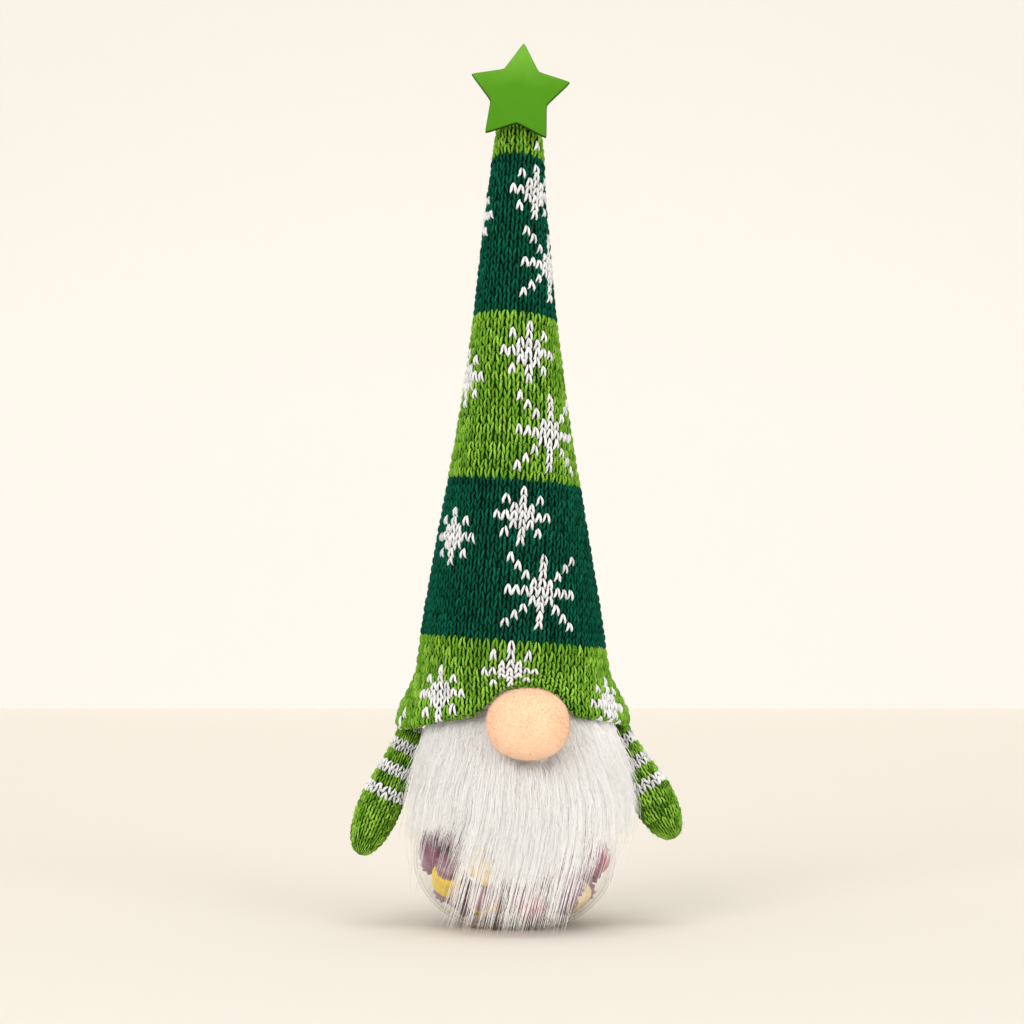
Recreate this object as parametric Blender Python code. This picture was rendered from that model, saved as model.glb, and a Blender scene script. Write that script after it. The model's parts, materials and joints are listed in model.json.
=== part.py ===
"""A gnome candy jar: a clear jar of wrapped sweets under a screw cap that carries a gnome's head and tall hat.

Metres, +Z up, the gnome faces -Y. The origin is the centre of the jar's foot.
"""

import math
import random

import bmesh
import bpy
from mathutils import Matrix, Vector

# Jar: an ellipsoid of revolution with a flat foot, a support bead and a threaded neck
JAR_RADIUS = 0.0365
JAR_WIDEST_Z = 0.0245
JAR_LOWER_HALF = 0.0276
JAR_UPPER_HALF = 0.0380
JAR_WALL = 0.0016
JAR_FLOOR_Z = 0.0022
NECK_RADIUS = 0.0260
NECK_WALL = 0.0018
NECK_START_Z = 0.0525
RIM_Z = 0.0660
BEAD_RADIUS = 0.0285
BEAD_HEIGHT = 0.0014

# Screw thread: one start, right-handed, the same pitch on neck and cap
PITCH = 0.0045
THREAD_TURNS = 1.25
THREAD_START_Z = 0.0576
THREAD_DEPTH = 0.0013
THREAD_BASE = 0.0020
THREAD_CREST = 0.0008
THREAD_ROOT_OVERLAP = 0.0004
THREAD_STEPS = 40
CAP_THREAD_LAG = 0.4

# Cap and liner
CAP_RADIUS = 0.0294
CAP_BORE = 0.0278
CAP_BOTTOM_Z = 0.0555
CAP_TOP_Z = 0.0697
CAP_PLATE = 0.0016
LINER_RADIUS = 0.0272
LINER_THICKNESS = 0.0015
GAP = 0.0003

# Hat: a slightly hollow cone as (height, radius), whose axis wanders in X as (height, offset)
HAT_CONE = ((0.0600, 0.03905), (0.0990, 0.0337), (0.1098, 0.0323), (0.1314, 0.0286), (0.1530, 0.0249),
            (0.1746, 0.0210), (0.1962, 0.0178), (0.2178, 0.0150), (0.2394, 0.0128), (0.2610, 0.0106),
            (0.2772, 0.0092), (0.2905, 0.0075))
HAT_LEAN = ((0.0700, -0.0006), (0.1100, -0.0008), (0.1500, -0.0005), (0.2000, 0.0000), (0.2400, 0.0003),
            (0.2610, 0.0006), (0.2772, 0.0014), (0.2905, 0.00175), (0.3200, 0.00175))
HAT_SHARES = (0.0, 0.05, 0.10, 0.16, 0.22, 0.29, 0.36, 0.44, 0.53, 0.62, 0.71, 0.81, 0.90, 0.96, 1.0)
HAT_TIP_Z = 0.2905
HAT_THICKNESS = 0.0022
FLARE_TOP_Z = 0.0930
FLARE_HEIGHT = 0.0180
FLARE = 0.0049
BRIM_Z = 0.0717
BRIM_FRONT_RISE = 0.0048
BRIM_ARCH = 0.0112
BRIM_ARCH_HALF_WIDTH = 0.0150
GATHER_Z = 0.2963
GATHER_RADIUS = 0.0032
FRILL_TOP_Z = 0.2995
FRILL_RADIUS = 0.0046
THREAD_TIE_RADIUS = 0.0006

# Inside the hat
CORE_BOTTOM_Z = 0.0915
BLOCK_RADIUS = 0.0304

# Star
STAR_RADIUS = 0.0184
STAR_INNER_RADIUS = 0.0107
STAR_THICKNESS = 0.0030
STAR_Z = 0.2977
STAR_BACK_Y = -0.0086
STAR_TURN = math.radians(5)
STAR_TILT = math.radians(6)
STAR_BEVEL = 0.0004

# Nose, off centre to +X
NOSE_CENTRE = (0.0047, -0.0460, 0.0745)
NOSE_HALF = (0.0150, 0.0125, 0.0133)
NOSE_GLUE_RADIUS = 0.0060

# Beard: a fur curtain round the front, wide of the jar so that it can turn and rise
BEARD_HALF_ANGLE = math.radians(66)
BEARD_CENTRE_ANGLE = math.radians(4)
BEARD_TOP_Z = 0.0790
BEARD_NOSE_DIP = 0.0205
BEARD_DIP_HALF_WIDTH = 0.0185
BEARD_BOTTOM_Z = 0.0040
BEARD_SIDE_RISE = 0.0180
BEARD_TOP_THICKNESS = 0.0052
BEARD_BOTTOM_THICKNESS = 0.0030

# Arms: (distance down from the shoulder, half width) of the stuffed tube
ARM_SECTIONS = ((0.0, 0.0050), (0.0070, 0.0056), (0.0140, 0.0068), (0.0210, 0.0079),
                (0.0280, 0.0082), (0.0345, 0.0077), (0.0390, 0.0060), (0.0415, 0.0035))
ARM_LENGTH = 0.0425
ARM_DEPTH_SHARE = 0.82
ARM_WALL = 0.0012
ARM_MOUTH_RADIUS = 0.0026
ARM_MOUTH_HEM = 0.0006
ARM_MOUTH_Z = 0.0049
STUFFING_TOP_Z = -0.0040
SHOULDER_Z = 0.0645
SHOULDER_Y = -0.0015
LEFT_SHOULDER_X = -0.0393
RIGHT_SHOULDER_X = 0.0396
LEFT_HANG = math.radians(21.5)
RIGHT_HANG = math.radians(27.5)
RIGHT_ARM_SHARE = 0.89

# Wrapped sweets: (count, height, spread) of each layer before they settle
SWEET_LAYERS = ((6, 0.011, 0.017), (9, 0.021, 0.025), (9, 0.032, 0.024), (7, 0.043, 0.018))
SWEET_HALF_CORE = 0.0035
SWEET_RADIUS = 0.0070
SWEET_CLEARANCE = 0.0004
SWEET_SEED = 11
SWEET_COLOURS = (
    "mauve", "yellow", "crimson", "cream", "mauve", "yellow", "mauve", "crimson",
    "cream", "yellow", "cream", "yellow", "yellow", "cream", "crimson", "mauve",
    "mauve", "cream", "mauve", "mauve", "yellow", "crimson", "cream", "cream",
    "yellow", "mauve", "crimson", "yellow", "cream", "crimson", "mauve",
)
SETTLE_ROUNDS = 420
SETTLE_STEP = 0.00030

TURNED_STEPS = 48
HAT_STEPS = 40
CORE_STEPS = 32
ARM_STEPS = 16
SWEET_STEPS = 9


def clear_scene():
    for obj in list(bpy.data.objects):
        bpy.data.objects.remove(obj, do_unlink=True)


def plastic(name, colour, roughness, transmission=0.0, metallic=0.0):
    material = bpy.data.materials.new(name)
    material.use_nodes = True
    shader = material.node_tree.nodes["Principled BSDF"]
    shader.inputs["Base Color"].default_value = (*colour, 1.0)
    shader.inputs["Roughness"].default_value = roughness
    shader.inputs["Metallic"].default_value = metallic
    shader.inputs["Transmission Weight"].default_value = transmission
    material.diffuse_color = (*colour, 1.0)
    return material


def joint_empty(name, place):
    empty = bpy.data.objects.new(name, None)
    empty.empty_display_size = 0.01
    empty.location = place
    bpy.context.scene.collection.objects.link(empty)
    return empty


def add_object(name, bm, material, parent=None, crease=math.radians(35)):
    """A node from a bmesh in world coordinates, with its own origin on its parent empty."""
    mesh = bpy.data.meshes.new(name)
    bmesh.ops.recalc_face_normals(bm, faces=bm.faces)
    if parent is not None:
        bmesh.ops.translate(bm, verts=bm.verts, vec=-parent.location)
    bm.to_mesh(mesh)
    bm.free()
    mesh.shade_smooth()
    mesh.set_sharp_from_angle(angle=crease)
    if material is not None:
        mesh.materials.append(material)
    obj = bpy.data.objects.new(name, mesh)
    obj.parent = parent
    bpy.context.scene.collection.objects.link(obj)
    return obj


def turned(name, profile, material, parent=None, steps=TURNED_STEPS):
    """A turned piece: its half profile runs top to bottom on the outer side, swept by a Screw."""
    mesh = bpy.data.meshes.new(name)
    rise = 0.0 if parent is None else parent.location.z
    points = [(r, 0.0, z - rise) for r, z in profile]
    mesh.from_pydata(points, [(i, i + 1) for i in range(len(points) - 1)], [])
    mesh.materials.append(material)
    obj = bpy.data.objects.new(name, mesh)
    obj.parent = parent
    bpy.context.scene.collection.objects.link(obj)
    screw = obj.modifiers.new("turn", "SCREW")
    screw.steps = steps
    screw.render_steps = steps
    screw.use_merge_vertices = True
    screw.merge_threshold = 0.00001
    screw.use_smooth_shade = True
    return obj


def loft(rings, start_pole=None, end_pole=None, wrap=False):
    """A skin over rings of equal length, closed by poles at its ends or wrapped from last ring to first."""
    bm = bmesh.new()
    loops = [[bm.verts.new(point) for point in ring] for ring in rings]
    pairs = list(zip(loops, loops[1:]))
    if wrap:
        pairs.append((loops[-1], loops[0]))
    count = len(loops[0])
    for first, second in pairs:
        for i in range(count):
            j = (i + 1) % count
            bm.faces.new((first[i], first[j], second[j], second[i]))
    for pole, loop in ((start_pole, loops[0]), (end_pole, loops[-1])):
        if pole is None:
            continue
        tip = bm.verts.new(pole)
        for i in range(count):
            bm.faces.new((loop[i], loop[(i + 1) % count], tip))
    return bm


def smoothstep(share):
    share = min(1.0, max(0.0, share))
    return share * share * (3 - 2 * share)


def mix(low, high, share):
    return low + (high - low) * share


# ---- Jar ----

def bulge_radius(z, inset=0.0):
    """The jar's radius at a height, or that of its inner face at the wall's inset."""
    half = (JAR_LOWER_HALF if z < JAR_WIDEST_Z else JAR_UPPER_HALF) - inset
    reach = min(1.0, abs(z - JAR_WIDEST_Z) / half)
    return (JAR_RADIUS - inset) * math.sqrt(1 - reach * reach)


def bulge_heights(low, high, count):
    """Heights closer together near both ends, where the outline turns fastest."""
    return [mix(low, high, 0.5 - 0.5 * math.cos(math.pi * i / count)) for i in range(count + 1)]


def jar_inner_profile():
    """(radius, height) up the inner face, from the floor's edge to the rim."""
    walls = [(bulge_radius(z, JAR_WALL), z) for z in bulge_heights(JAR_FLOOR_Z, NECK_START_Z - 0.003, 11)]
    inner_neck = NECK_RADIUS - NECK_WALL
    neck = [(inner_neck, NECK_START_Z + 0.0005), (inner_neck, RIM_Z - 0.0004), (inner_neck + 0.0004, RIM_Z)]
    return walls + neck


def jar_outer_profile():
    """(radius, height) down the outer face, from the rim to the foot's edge."""
    bead_top = CAP_BOTTOM_Z - 0.0008
    neck = [
        (NECK_RADIUS - 0.0004, RIM_Z),
        (NECK_RADIUS, RIM_Z - 0.0004),
        (NECK_RADIUS, bead_top + 0.0003),
        (BEAD_RADIUS - 0.0003, bead_top),
        (BEAD_RADIUS, bead_top - BEAD_HEIGHT / 2),
        (BEAD_RADIUS - 0.0003, bead_top - BEAD_HEIGHT),
    ]
    walls = [(bulge_radius(z), z) for z in bulge_heights(0.0, NECK_START_Z - 0.002, 13)]
    return neck + walls[::-1]


def helical_ridge(root_radius, crest_radius, start_turn, end_turn, rise):
    """A thread ridge with tapered ends, from its root in the wall to its crest."""
    rings = []
    for i in range(THREAD_STEPS + 1):
        share = i / THREAD_STEPS
        turn = mix(start_turn, end_turn, share)
        angle = 2 * math.pi * turn
        z = THREAD_START_Z + rise + PITCH * turn
        full = smoothstep(min(share, 1 - share) / 0.08)
        height = mix(0.15, 1.0, full)
        crest = root_radius + (crest_radius - root_radius) * height
        buried = root_radius - math.copysign(THREAD_ROOT_OVERLAP, crest_radius - root_radius)
        section = ((buried, -THREAD_BASE / 2), (crest, -THREAD_CREST / 2),
                   (crest, THREAD_CREST / 2), (buried, THREAD_BASE / 2))
        rings.append([(r * math.cos(angle), r * math.sin(angle), z + dz) for r, dz in section])
    bm = loft(rings)
    bm.verts.ensure_lookup_table()
    bm.faces.new(bm.verts[:4])
    bm.faces.new(bm.verts[-4:])
    return bm


def join_thread(body, bm, parent=None):
    ridge = add_object(body.name + "_thread_shape", bm, None, parent)
    ridge.hide_render = True
    ridge.display_type = "WIRE"
    union = body.modifiers.new("thread", "BOOLEAN")
    union.operation = "UNION"
    union.solver = "EXACT"
    union.object = ridge


def make_jar(clear):
    profile = [(0.0, JAR_FLOOR_Z)] + jar_inner_profile() + jar_outer_profile() + [(0.0, 0.0)]
    jar = turned("jar_body", profile, clear)
    join_thread(jar, helical_ridge(NECK_RADIUS, NECK_RADIUS + THREAD_DEPTH, 0.0, THREAD_TURNS, 0.0))


# ---- Sweets ----

def closest_on_segments(a, b, c, d):
    """The shares along ab and cd of their nearest points."""
    u, v, w = b - a, d - c, a - c
    uu, uv, vv, uw, vw = u.dot(u), u.dot(v), v.dot(v), u.dot(w), v.dot(w)
    scale = uu * vv - uv * uv
    first = 0.5 if scale < 1e-12 else min(1.0, max(0.0, (uv * vw - vv * uw) / scale))
    second = min(1.0, max(0.0, (uv * first + vw) / vv))
    first = min(1.0, max(0.0, (uv * second - uw) / uu))
    return first, second


def push_apart(first, second):
    s, t = closest_on_segments(*first, *second)
    between = first[0].lerp(first[1], s) - second[0].lerp(second[1], t)
    gap = between.length
    wanted = 2 * (SWEET_RADIUS + SWEET_CLEARANCE)
    if gap >= wanted:
        return
    away = between / gap if gap > 1e-9 else Vector((0, 0, 1))
    move = away * (wanted - gap) * 0.5
    first[0] += move * (1 - s)
    first[1] += move * s
    second[0] -= move * (1 - t)
    second[1] -= move * t


def push_inside(end, wall):
    """Moves a sweet's end off the jar's inner face."""
    wanted = SWEET_RADIUS + SWEET_CLEARANCE
    radius = math.hypot(end.x, end.y)
    for wall_radius, wall_z in wall:
        out, up = radius - wall_radius, end.z - wall_z
        distance = math.hypot(out, up)
        if distance < wanted:
            radius -= (wanted - distance) * (1.0 if distance < 1e-9 else -out / distance)
            end.z += (wanted - distance) * (0.0 if distance < 1e-9 else up / distance)
    end.z = max(end.z, JAR_FLOOR_Z + wanted)
    length = math.hypot(end.x, end.y)
    if length > 1e-9:
        end.x *= max(0.0, radius) / length
        end.y *= max(0.0, radius) / length


def settle_sweets():
    """The sweets' end points after they have sunk and pushed each other and the wall."""
    chance = random.Random(SWEET_SEED)
    sweets = []
    for count, height, spread in SWEET_LAYERS:
        turn = chance.uniform(0, 2 * math.pi)
        for i in range(count):
            inner = i >= 7
            angle = turn + 2 * math.pi * i / min(count, 7) + (0.7 if inner else 0.0)
            reach = spread * (0.25 if inner else 1.0)
            centre = Vector((reach * math.cos(angle), reach * math.sin(angle), height))
            spin, dip = chance.uniform(0, math.pi), chance.uniform(-0.7, 0.7)
            axis = Vector((math.cos(spin) * math.cos(dip), math.sin(spin) * math.cos(dip), math.sin(dip)))
            sweets.append([centre - axis * SWEET_HALF_CORE, centre + axis * SWEET_HALF_CORE])
    profile = jar_inner_profile()
    wall = []
    for (r0, z0), (r1, z1) in zip(profile, profile[1:]):
        wall += [(mix(r0, r1, k / 4), mix(z0, z1, k / 4)) for k in range(4)]
    for step in range(SETTLE_ROUNDS):
        sink = SETTLE_STEP * max(0.0, 1 - step / (0.7 * SETTLE_ROUNDS))
        for ends in sweets:
            ends[0].z -= sink
            ends[1].z -= sink
        for i, first in enumerate(sweets):
            for second in sweets[i + 1:]:
                if (first[0] - second[0]).length < 4 * SWEET_RADIUS:
                    push_apart(first, second)
        for ends in sweets:
            push_inside(ends[0], wall)
            push_inside(ends[1], wall)
            middle = (ends[0] + ends[1]) / 2
            axis = (ends[1] - ends[0]).normalized()
            ends[0] = middle - axis * SWEET_HALF_CORE
            ends[1] = middle + axis * SWEET_HALF_CORE
    return sweets


def sweet_profile():
    """(height, radius) of half a wrapped sweet: a round body, a pinched neck and a short fan."""
    r = SWEET_RADIUS - SWEET_CLEARANCE
    return ((0.0, 0.96 * r), (0.0036, 0.88 * r), (0.0062, 0.60 * r), (0.0076, 0.30 * r), (0.0092, 0.50 * r))


def make_sweets(wrappers):
    half = sweet_profile()
    stations = [(-z, r) for z, r in half[:0:-1]] + list(half)
    for number, ((start, end), colour) in enumerate(zip(settle_sweets(), SWEET_COLOURS), 1):
        rings = []
        for z, r in stations:
            ring = []
            for k in range(SWEET_STEPS):
                angle = 2 * math.pi * k / SWEET_STEPS
                ring.append((r * math.cos(angle), r * math.sin(angle), z))
            rings.append(ring)
        tip = stations[-1][0] + 0.0004
        bm = loft(rings, (0, 0, -tip), (0, 0, tip))
        turn = Vector((0, 0, 1)).rotation_difference((end - start).normalized())
        bmesh.ops.transform(bm, matrix=Matrix.Translation((start + end) / 2) @ turn.to_matrix().to_4x4(),
                            verts=bm.verts)
        add_object(f"candy_{number:02d}", bm, wrappers[colour])


# ---- Cap ----

def make_cap(cap_plastic, foam, head, liner):
    inner_top = CAP_TOP_Z - CAP_PLATE
    profile = [
        (0.0, CAP_TOP_Z),
        (CAP_RADIUS - 0.0012, CAP_TOP_Z),
        (CAP_RADIUS, CAP_TOP_Z - 0.0012),
        (CAP_RADIUS, CAP_BOTTOM_Z),
        (CAP_BORE, CAP_BOTTOM_Z),
        (CAP_BORE, inner_top),
        (0.0, inner_top),
    ]
    cap = turned("screw_cap", profile, cap_plastic, head)
    start = -CAP_THREAD_LAG
    ridge = helical_ridge(CAP_BORE, CAP_BORE - THREAD_DEPTH, start, start + THREAD_TURNS, PITCH / 2)
    join_thread(cap, ridge, head)
    top = RIM_Z + GAP + LINER_THICKNESS
    wad = [(0.0, top), (LINER_RADIUS, top), (LINER_RADIUS, RIM_Z + GAP), (0.0, RIM_Z + GAP)]
    turned("cap_liner", wad, foam, liner)


# ---- Hat and what it holds ----

def read_table(table, z):
    """The value at height z of a table of (height, value) pairs."""
    for (low, first), (high, second) in zip(table, table[1:]):
        if z <= high:
            return mix(first, second, max(0.0, (z - low) / (high - low)))
    return table[-1][1]


def lean(z):
    return read_table(HAT_LEAN, z)


def hat_radius(z):
    return read_table(HAT_CONE, z) + FLARE * smoothstep((FLARE_TOP_Z - z) / FLARE_HEIGHT)


def arch(x, half_width):
    return math.exp(-(((x - NOSE_CENTRE[0]) / half_width) ** 4))


def brim_height(angle):
    """The brim's lower edge round the hat, higher across the front and lifted again by the nose."""
    if math.cos(angle) <= 0:
        return BRIM_Z
    x = hat_radius(BRIM_Z) * math.sin(angle)
    return BRIM_Z + BRIM_FRONT_RISE * smoothstep(math.cos(angle)) + BRIM_ARCH * arch(x, BRIM_ARCH_HALF_WIDTH)


def around(radius, z, angle):
    """A point on a leaning ring; angle 0 is the front, -Y, and +90 degrees is +X."""
    return (lean(z) + radius * math.sin(angle), -radius * math.cos(angle), z)


def leaning_ring(radius, z, steps=HAT_STEPS):
    return [around(radius, z, 2 * math.pi * k / steps) for k in range(steps)]


def make_hat_shell(knit, head):
    outer, inner = [], []
    for share in HAT_SHARES:
        outer_ring, inner_ring = [], []
        for k in range(HAT_STEPS):
            angle = 2 * math.pi * k / HAT_STEPS
            z = mix(brim_height(angle), HAT_TIP_Z, share ** 1.5)
            outer_ring.append(around(hat_radius(z), z, angle))
            inner_ring.append(around(hat_radius(z) - HAT_THICKNESS, z, angle))
        outer.append(outer_ring)
        inner.append(inner_ring)
    gathered = [
        leaning_ring(0.92 * hat_radius(HAT_TIP_Z), HAT_TIP_Z + 0.0022),
        leaning_ring(0.60 * hat_radius(HAT_TIP_Z), GATHER_Z - 0.0016),
        leaning_ring(GATHER_RADIUS, GATHER_Z - 0.0007),
        leaning_ring(GATHER_RADIUS, GATHER_Z + 0.0007),
        leaning_ring(FRILL_RADIUS, FRILL_TOP_Z - 0.0010),
        leaning_ring(0.9 * FRILL_RADIUS, FRILL_TOP_Z),
    ]
    rings = (outer + gathered)[::-1] + inner
    bm = loft(rings, (lean(FRILL_TOP_Z), 0, FRILL_TOP_Z), (lean(HAT_TIP_Z), 0, HAT_TIP_Z + 0.0008))
    add_object("hat_shell", bm, knit, head)


def make_hat_core(foam, head):
    """A foam cone that fills the hat above its flare."""
    rings = []
    heights = [CORE_BOTTOM_Z, FLARE_TOP_Z + GAP] + [z for z, _ in HAT_CONE if z > FLARE_TOP_Z + GAP]
    for z in heights:
        rings.append(leaning_ring(hat_radius(z) - HAT_THICKNESS - 2 * GAP, z, CORE_STEPS))
    bm = loft(rings, (lean(CORE_BOTTOM_Z), 0, CORE_BOTTOM_Z), (lean(HAT_TIP_Z), 0, HAT_TIP_Z))
    add_object("hat_core", bm, foam, head)


def make_head_block(foam, head):
    """A foam disc on the cap that carries the core, the nose, the beard and the arms."""
    low, high, edge = CAP_TOP_Z + GAP, CORE_BOTTOM_Z - GAP, 0.0015
    profile = (
        (BLOCK_RADIUS - edge, high),
        (BLOCK_RADIUS, high - edge),
        (BLOCK_RADIUS, low + edge),
        (BLOCK_RADIUS - edge, low),
    )
    rings = [leaning_ring(r, z, CORE_STEPS) for r, z in profile]
    add_object("head_block", loft(rings, (lean(high), 0, high), (lean(low), 0, low)), foam, head)


def make_gather_thread(yarn, head):
    middle = GATHER_RADIUS + GAP + THREAD_TIE_RADIUS
    rings = []
    for k in range(20):
        angle = 2 * math.pi * k / 20
        ring = []
        for j in range(6):
            across = 2 * math.pi * j / 6
            r = middle + THREAD_TIE_RADIUS * math.cos(across)
            ring.append((lean(GATHER_Z) + r * math.cos(angle), r * math.sin(angle),
                         GATHER_Z + THREAD_TIE_RADIUS * math.sin(across)))
        rings.append(ring)
    add_object("gather_thread", loft(rings, wrap=True), yarn, head)


# ---- Star, nose and their glue ----

def make_star(foam, glue, head):
    bm = bmesh.new()
    corners = []
    for k in range(10):
        radius = STAR_RADIUS if k % 2 == 0 else STAR_INNER_RADIUS
        angle = math.pi / 2 - STAR_TURN - math.pi * k / 5
        corners.append(bm.verts.new((radius * math.cos(angle), 0.0, radius * math.sin(angle))))
    face = bm.faces.new(corners)
    made = bmesh.ops.extrude_face_region(bm, geom=[face])
    front = [item for item in made["geom"] if isinstance(item, bmesh.types.BMVert)]
    bmesh.ops.translate(bm, verts=front, vec=(0.0, -STAR_THICKNESS, 0.0))
    place = Matrix.Translation((lean(STAR_Z), STAR_BACK_Y, STAR_Z)) @ Matrix.Rotation(-STAR_TILT, 4, "X")
    bmesh.ops.transform(bm, matrix=place, verts=bm.verts)
    star = add_object("star", bm, foam, head)
    bevel = star.modifiers.new("soft_edge", "BEVEL")
    bevel.width = STAR_BEVEL
    bevel.segments = 2
    front_z = HAT_TIP_Z - 0.0006
    add_object("star_glue", glue_dab(lean(front_z), front_z, -hat_radius(front_z) - 2 * GAP, 0.0009, 0.0028),
               glue, head)


def glue_dab(x, z, back_y, thickness, radius):
    """A flattened disc of glue whose faces look along Y."""
    rings = []
    for share, depth in ((0.75, 0.0), (1.0, 0.35), (1.0, 0.65), (0.75, 1.0)):
        ring = []
        for k in range(12):
            angle = 2 * math.pi * k / 12
            ring.append((x + share * radius * math.cos(angle), back_y - thickness * depth,
                         z + share * radius * math.sin(angle)))
        rings.append(ring)
    return loft(rings, (x, back_y, z), (x, back_y - thickness, z))


def make_nose(fleece, glue, head):
    bm = bmesh.new()
    bmesh.ops.create_uvsphere(bm, u_segments=20, v_segments=12, radius=1.0)
    bmesh.ops.scale(bm, vec=NOSE_HALF, verts=bm.verts)
    bmesh.ops.translate(bm, vec=NOSE_CENTRE, verts=bm.verts)
    add_object("nose", bm, fleece, head)
    back_y = -BLOCK_RADIUS - GAP
    thickness = -(NOSE_CENTRE[1] + NOSE_HALF[1]) - GAP + back_y
    add_object("nose_glue", glue_dab(NOSE_CENTRE[0], NOSE_CENTRE[2], back_y, thickness, NOSE_GLUE_RADIUS),
               glue, head)


# ---- Beard ----

def beard_inner_radius(z):
    """Close under the brim, then wide of the jar and of its whole path up."""
    narrow, wide = 0.0318, 0.0378
    return mix(wide, narrow, smoothstep((z - 0.030) / 0.034))


def make_beard(fur, head):
    columns, rows = 26, 9
    outer, inner = [], []
    for i in range(columns + 1):
        share = 2 * i / columns - 1
        angle = BEARD_CENTRE_ANGLE + BEARD_HALF_ANGLE * share
        x = BLOCK_RADIUS * math.sin(angle)
        top = BEARD_TOP_Z - BEARD_NOSE_DIP * arch(x, BEARD_DIP_HALF_WIDTH)
        bottom = BEARD_BOTTOM_Z + BEARD_SIDE_RISE * abs(share) ** 2.5
        outer_line, inner_line = [], []
        for j in range(rows + 1):
            z = mix(bottom, top, j / rows)
            r = beard_inner_radius(z)
            thickness = mix(BEARD_BOTTOM_THICKNESS, BEARD_TOP_THICKNESS, j / rows)
            inner_line.append((r * math.sin(angle), -r * math.cos(angle), z))
            outer_line.append(((r + thickness) * math.sin(angle), -(r + thickness) * math.cos(angle), z))
        outer.append(outer_line)
        inner.append(inner_line)
    rings = [front + back[::-1] for front, back in zip(outer, inner)]
    bm = loft(rings)
    bm.verts.ensure_lookup_table()
    height = rows + 1
    for first in (0, columns * 2 * height):
        for j in range(rows):
            bm.faces.new([bm.verts[first + k] for k in (j, j + 1, 2 * height - 2 - j, 2 * height - 1 - j)])
    add_object("beard", bm, fur, head)


# ---- Arms ----

def arm_rings(shrink, length_share, skip_below=0.0):
    """The arm hangs down -Z from its shoulder; rings go from the hand's tip up."""
    rings = []
    for down, half in reversed(ARM_SECTIONS):
        if down < skip_below:
            continue
        r = half - shrink
        z = -down * length_share + 1.2 * shrink * down / ARM_LENGTH
        ring = []
        for k in range(ARM_STEPS):
            angle = 2 * math.pi * k / ARM_STEPS
            ring.append((r * math.cos(angle), ARM_DEPTH_SHARE * r * math.sin(angle), z))
        rings.append(ring)
    return rings


def dome(radius, height, low):
    """Rings that close an arm's top towards its open end."""
    rings = []
    for share, up in ((0.86, 0.55), (0.55, 0.90)):
        ring = []
        for k in range(ARM_STEPS):
            angle = 2 * math.pi * k / ARM_STEPS
            ring.append((share * radius * math.cos(angle), ARM_DEPTH_SHARE * share * radius * math.sin(angle),
                         low + up * height))
        rings.append(ring)
    return rings


def make_arm(side, shoulder, hang, length_share, knit, filling):
    shoulder_empty = joint_empty(f"arm_{side}_swing", shoulder)
    turn = Matrix.Rotation(hang, 4, "Y")
    top_radius = ARM_SECTIONS[0][1]
    mouth = []
    for scale in (ARM_MOUTH_RADIUS, ARM_MOUTH_RADIUS - ARM_MOUTH_HEM):
        mouth.append([(scale * math.cos(2 * math.pi * k / ARM_STEPS),
                       ARM_DEPTH_SHARE * scale * math.sin(2 * math.pi * k / ARM_STEPS), ARM_MOUTH_Z)
                      for k in range(ARM_STEPS)])
    outer = arm_rings(0.0, length_share) + dome(top_radius, top_radius, 0.0)
    inner = arm_rings(ARM_WALL, length_share) + dome(top_radius - ARM_WALL, top_radius - ARM_WALL, 0.0)
    tip = -ARM_LENGTH * length_share
    shell = loft(outer + mouth + inner[::-1], (0, 0, tip), (0, 0, tip + 1.5 * ARM_WALL))
    stuffing_rings = arm_rings(ARM_WALL + GAP, length_share, skip_below=0.001)
    core = loft(stuffing_rings, (0, 0, tip + 2 * ARM_WALL + GAP), (0, 0, STUFFING_TOP_Z))
    for name, bm, material in ((f"arm_{side}_cover", shell, knit), (f"arm_{side}_stuffing", core, filling)):
        bmesh.ops.transform(bm, matrix=Matrix.Translation(shoulder) @ turn, verts=bm.verts)
        add_object(name, bm, material, shoulder_empty)


def main():
    clear_scene()
    head = joint_empty("lid_turn", (0, 0, CAP_BOTTOM_Z))
    liner = joint_empty("lid_lift", (0, 0, RIM_Z))

    clear = plastic("clear_plastic", (0.93, 0.95, 0.95), 0.05, transmission=1.0)
    cap_plastic = plastic("lid_plastic", (0.82, 0.82, 0.80), 0.35)
    foam = plastic("white_foam", (0.86, 0.86, 0.84), 0.85)
    knit = plastic("green_knit", (0.07, 0.32, 0.05), 0.9)
    yarn = plastic("green_thread", (0.03, 0.20, 0.05), 0.8)
    star_foam = plastic("green_foam", (0.13, 0.48, 0.04), 0.6)
    fleece = plastic("peach_flock", (0.98, 0.63, 0.40), 0.95)
    glue = plastic("clear_glue", (0.85, 0.82, 0.72), 0.3)
    fur = plastic("white_fur", (0.90, 0.89, 0.88), 0.9)
    filling = plastic("white_fibre", (0.88, 0.88, 0.88), 0.95)
    wrappers = {
        "yellow": plastic("wrapper_yellow", (0.88, 0.62, 0.10), 0.35),
        "crimson": plastic("wrapper_crimson", (0.50, 0.05, 0.10), 0.35),
        "mauve": plastic("wrapper_mauve", (0.45, 0.28, 0.42), 0.35),
        "cream": plastic("wrapper_cream", (0.85, 0.74, 0.55), 0.35),
    }

    make_jar(clear)
    make_sweets(wrappers)
    make_cap(cap_plastic, foam, head, liner)
    make_head_block(foam, head)
    make_hat_core(foam, head)
    make_hat_shell(knit, head)
    make_gather_thread(yarn, head)
    make_star(star_foam, glue, head)
    make_nose(fleece, glue, head)
    make_beard(fur, head)
    make_arm("left", (LEFT_SHOULDER_X, SHOULDER_Y, SHOULDER_Z), LEFT_HANG, 1.0, knit, filling)
    make_arm("right", (RIGHT_SHOULDER_X, SHOULDER_Y, SHOULDER_Z), -RIGHT_HANG, RIGHT_ARM_SHARE, knit, filling)


main()
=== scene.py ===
import json
import math

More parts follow.
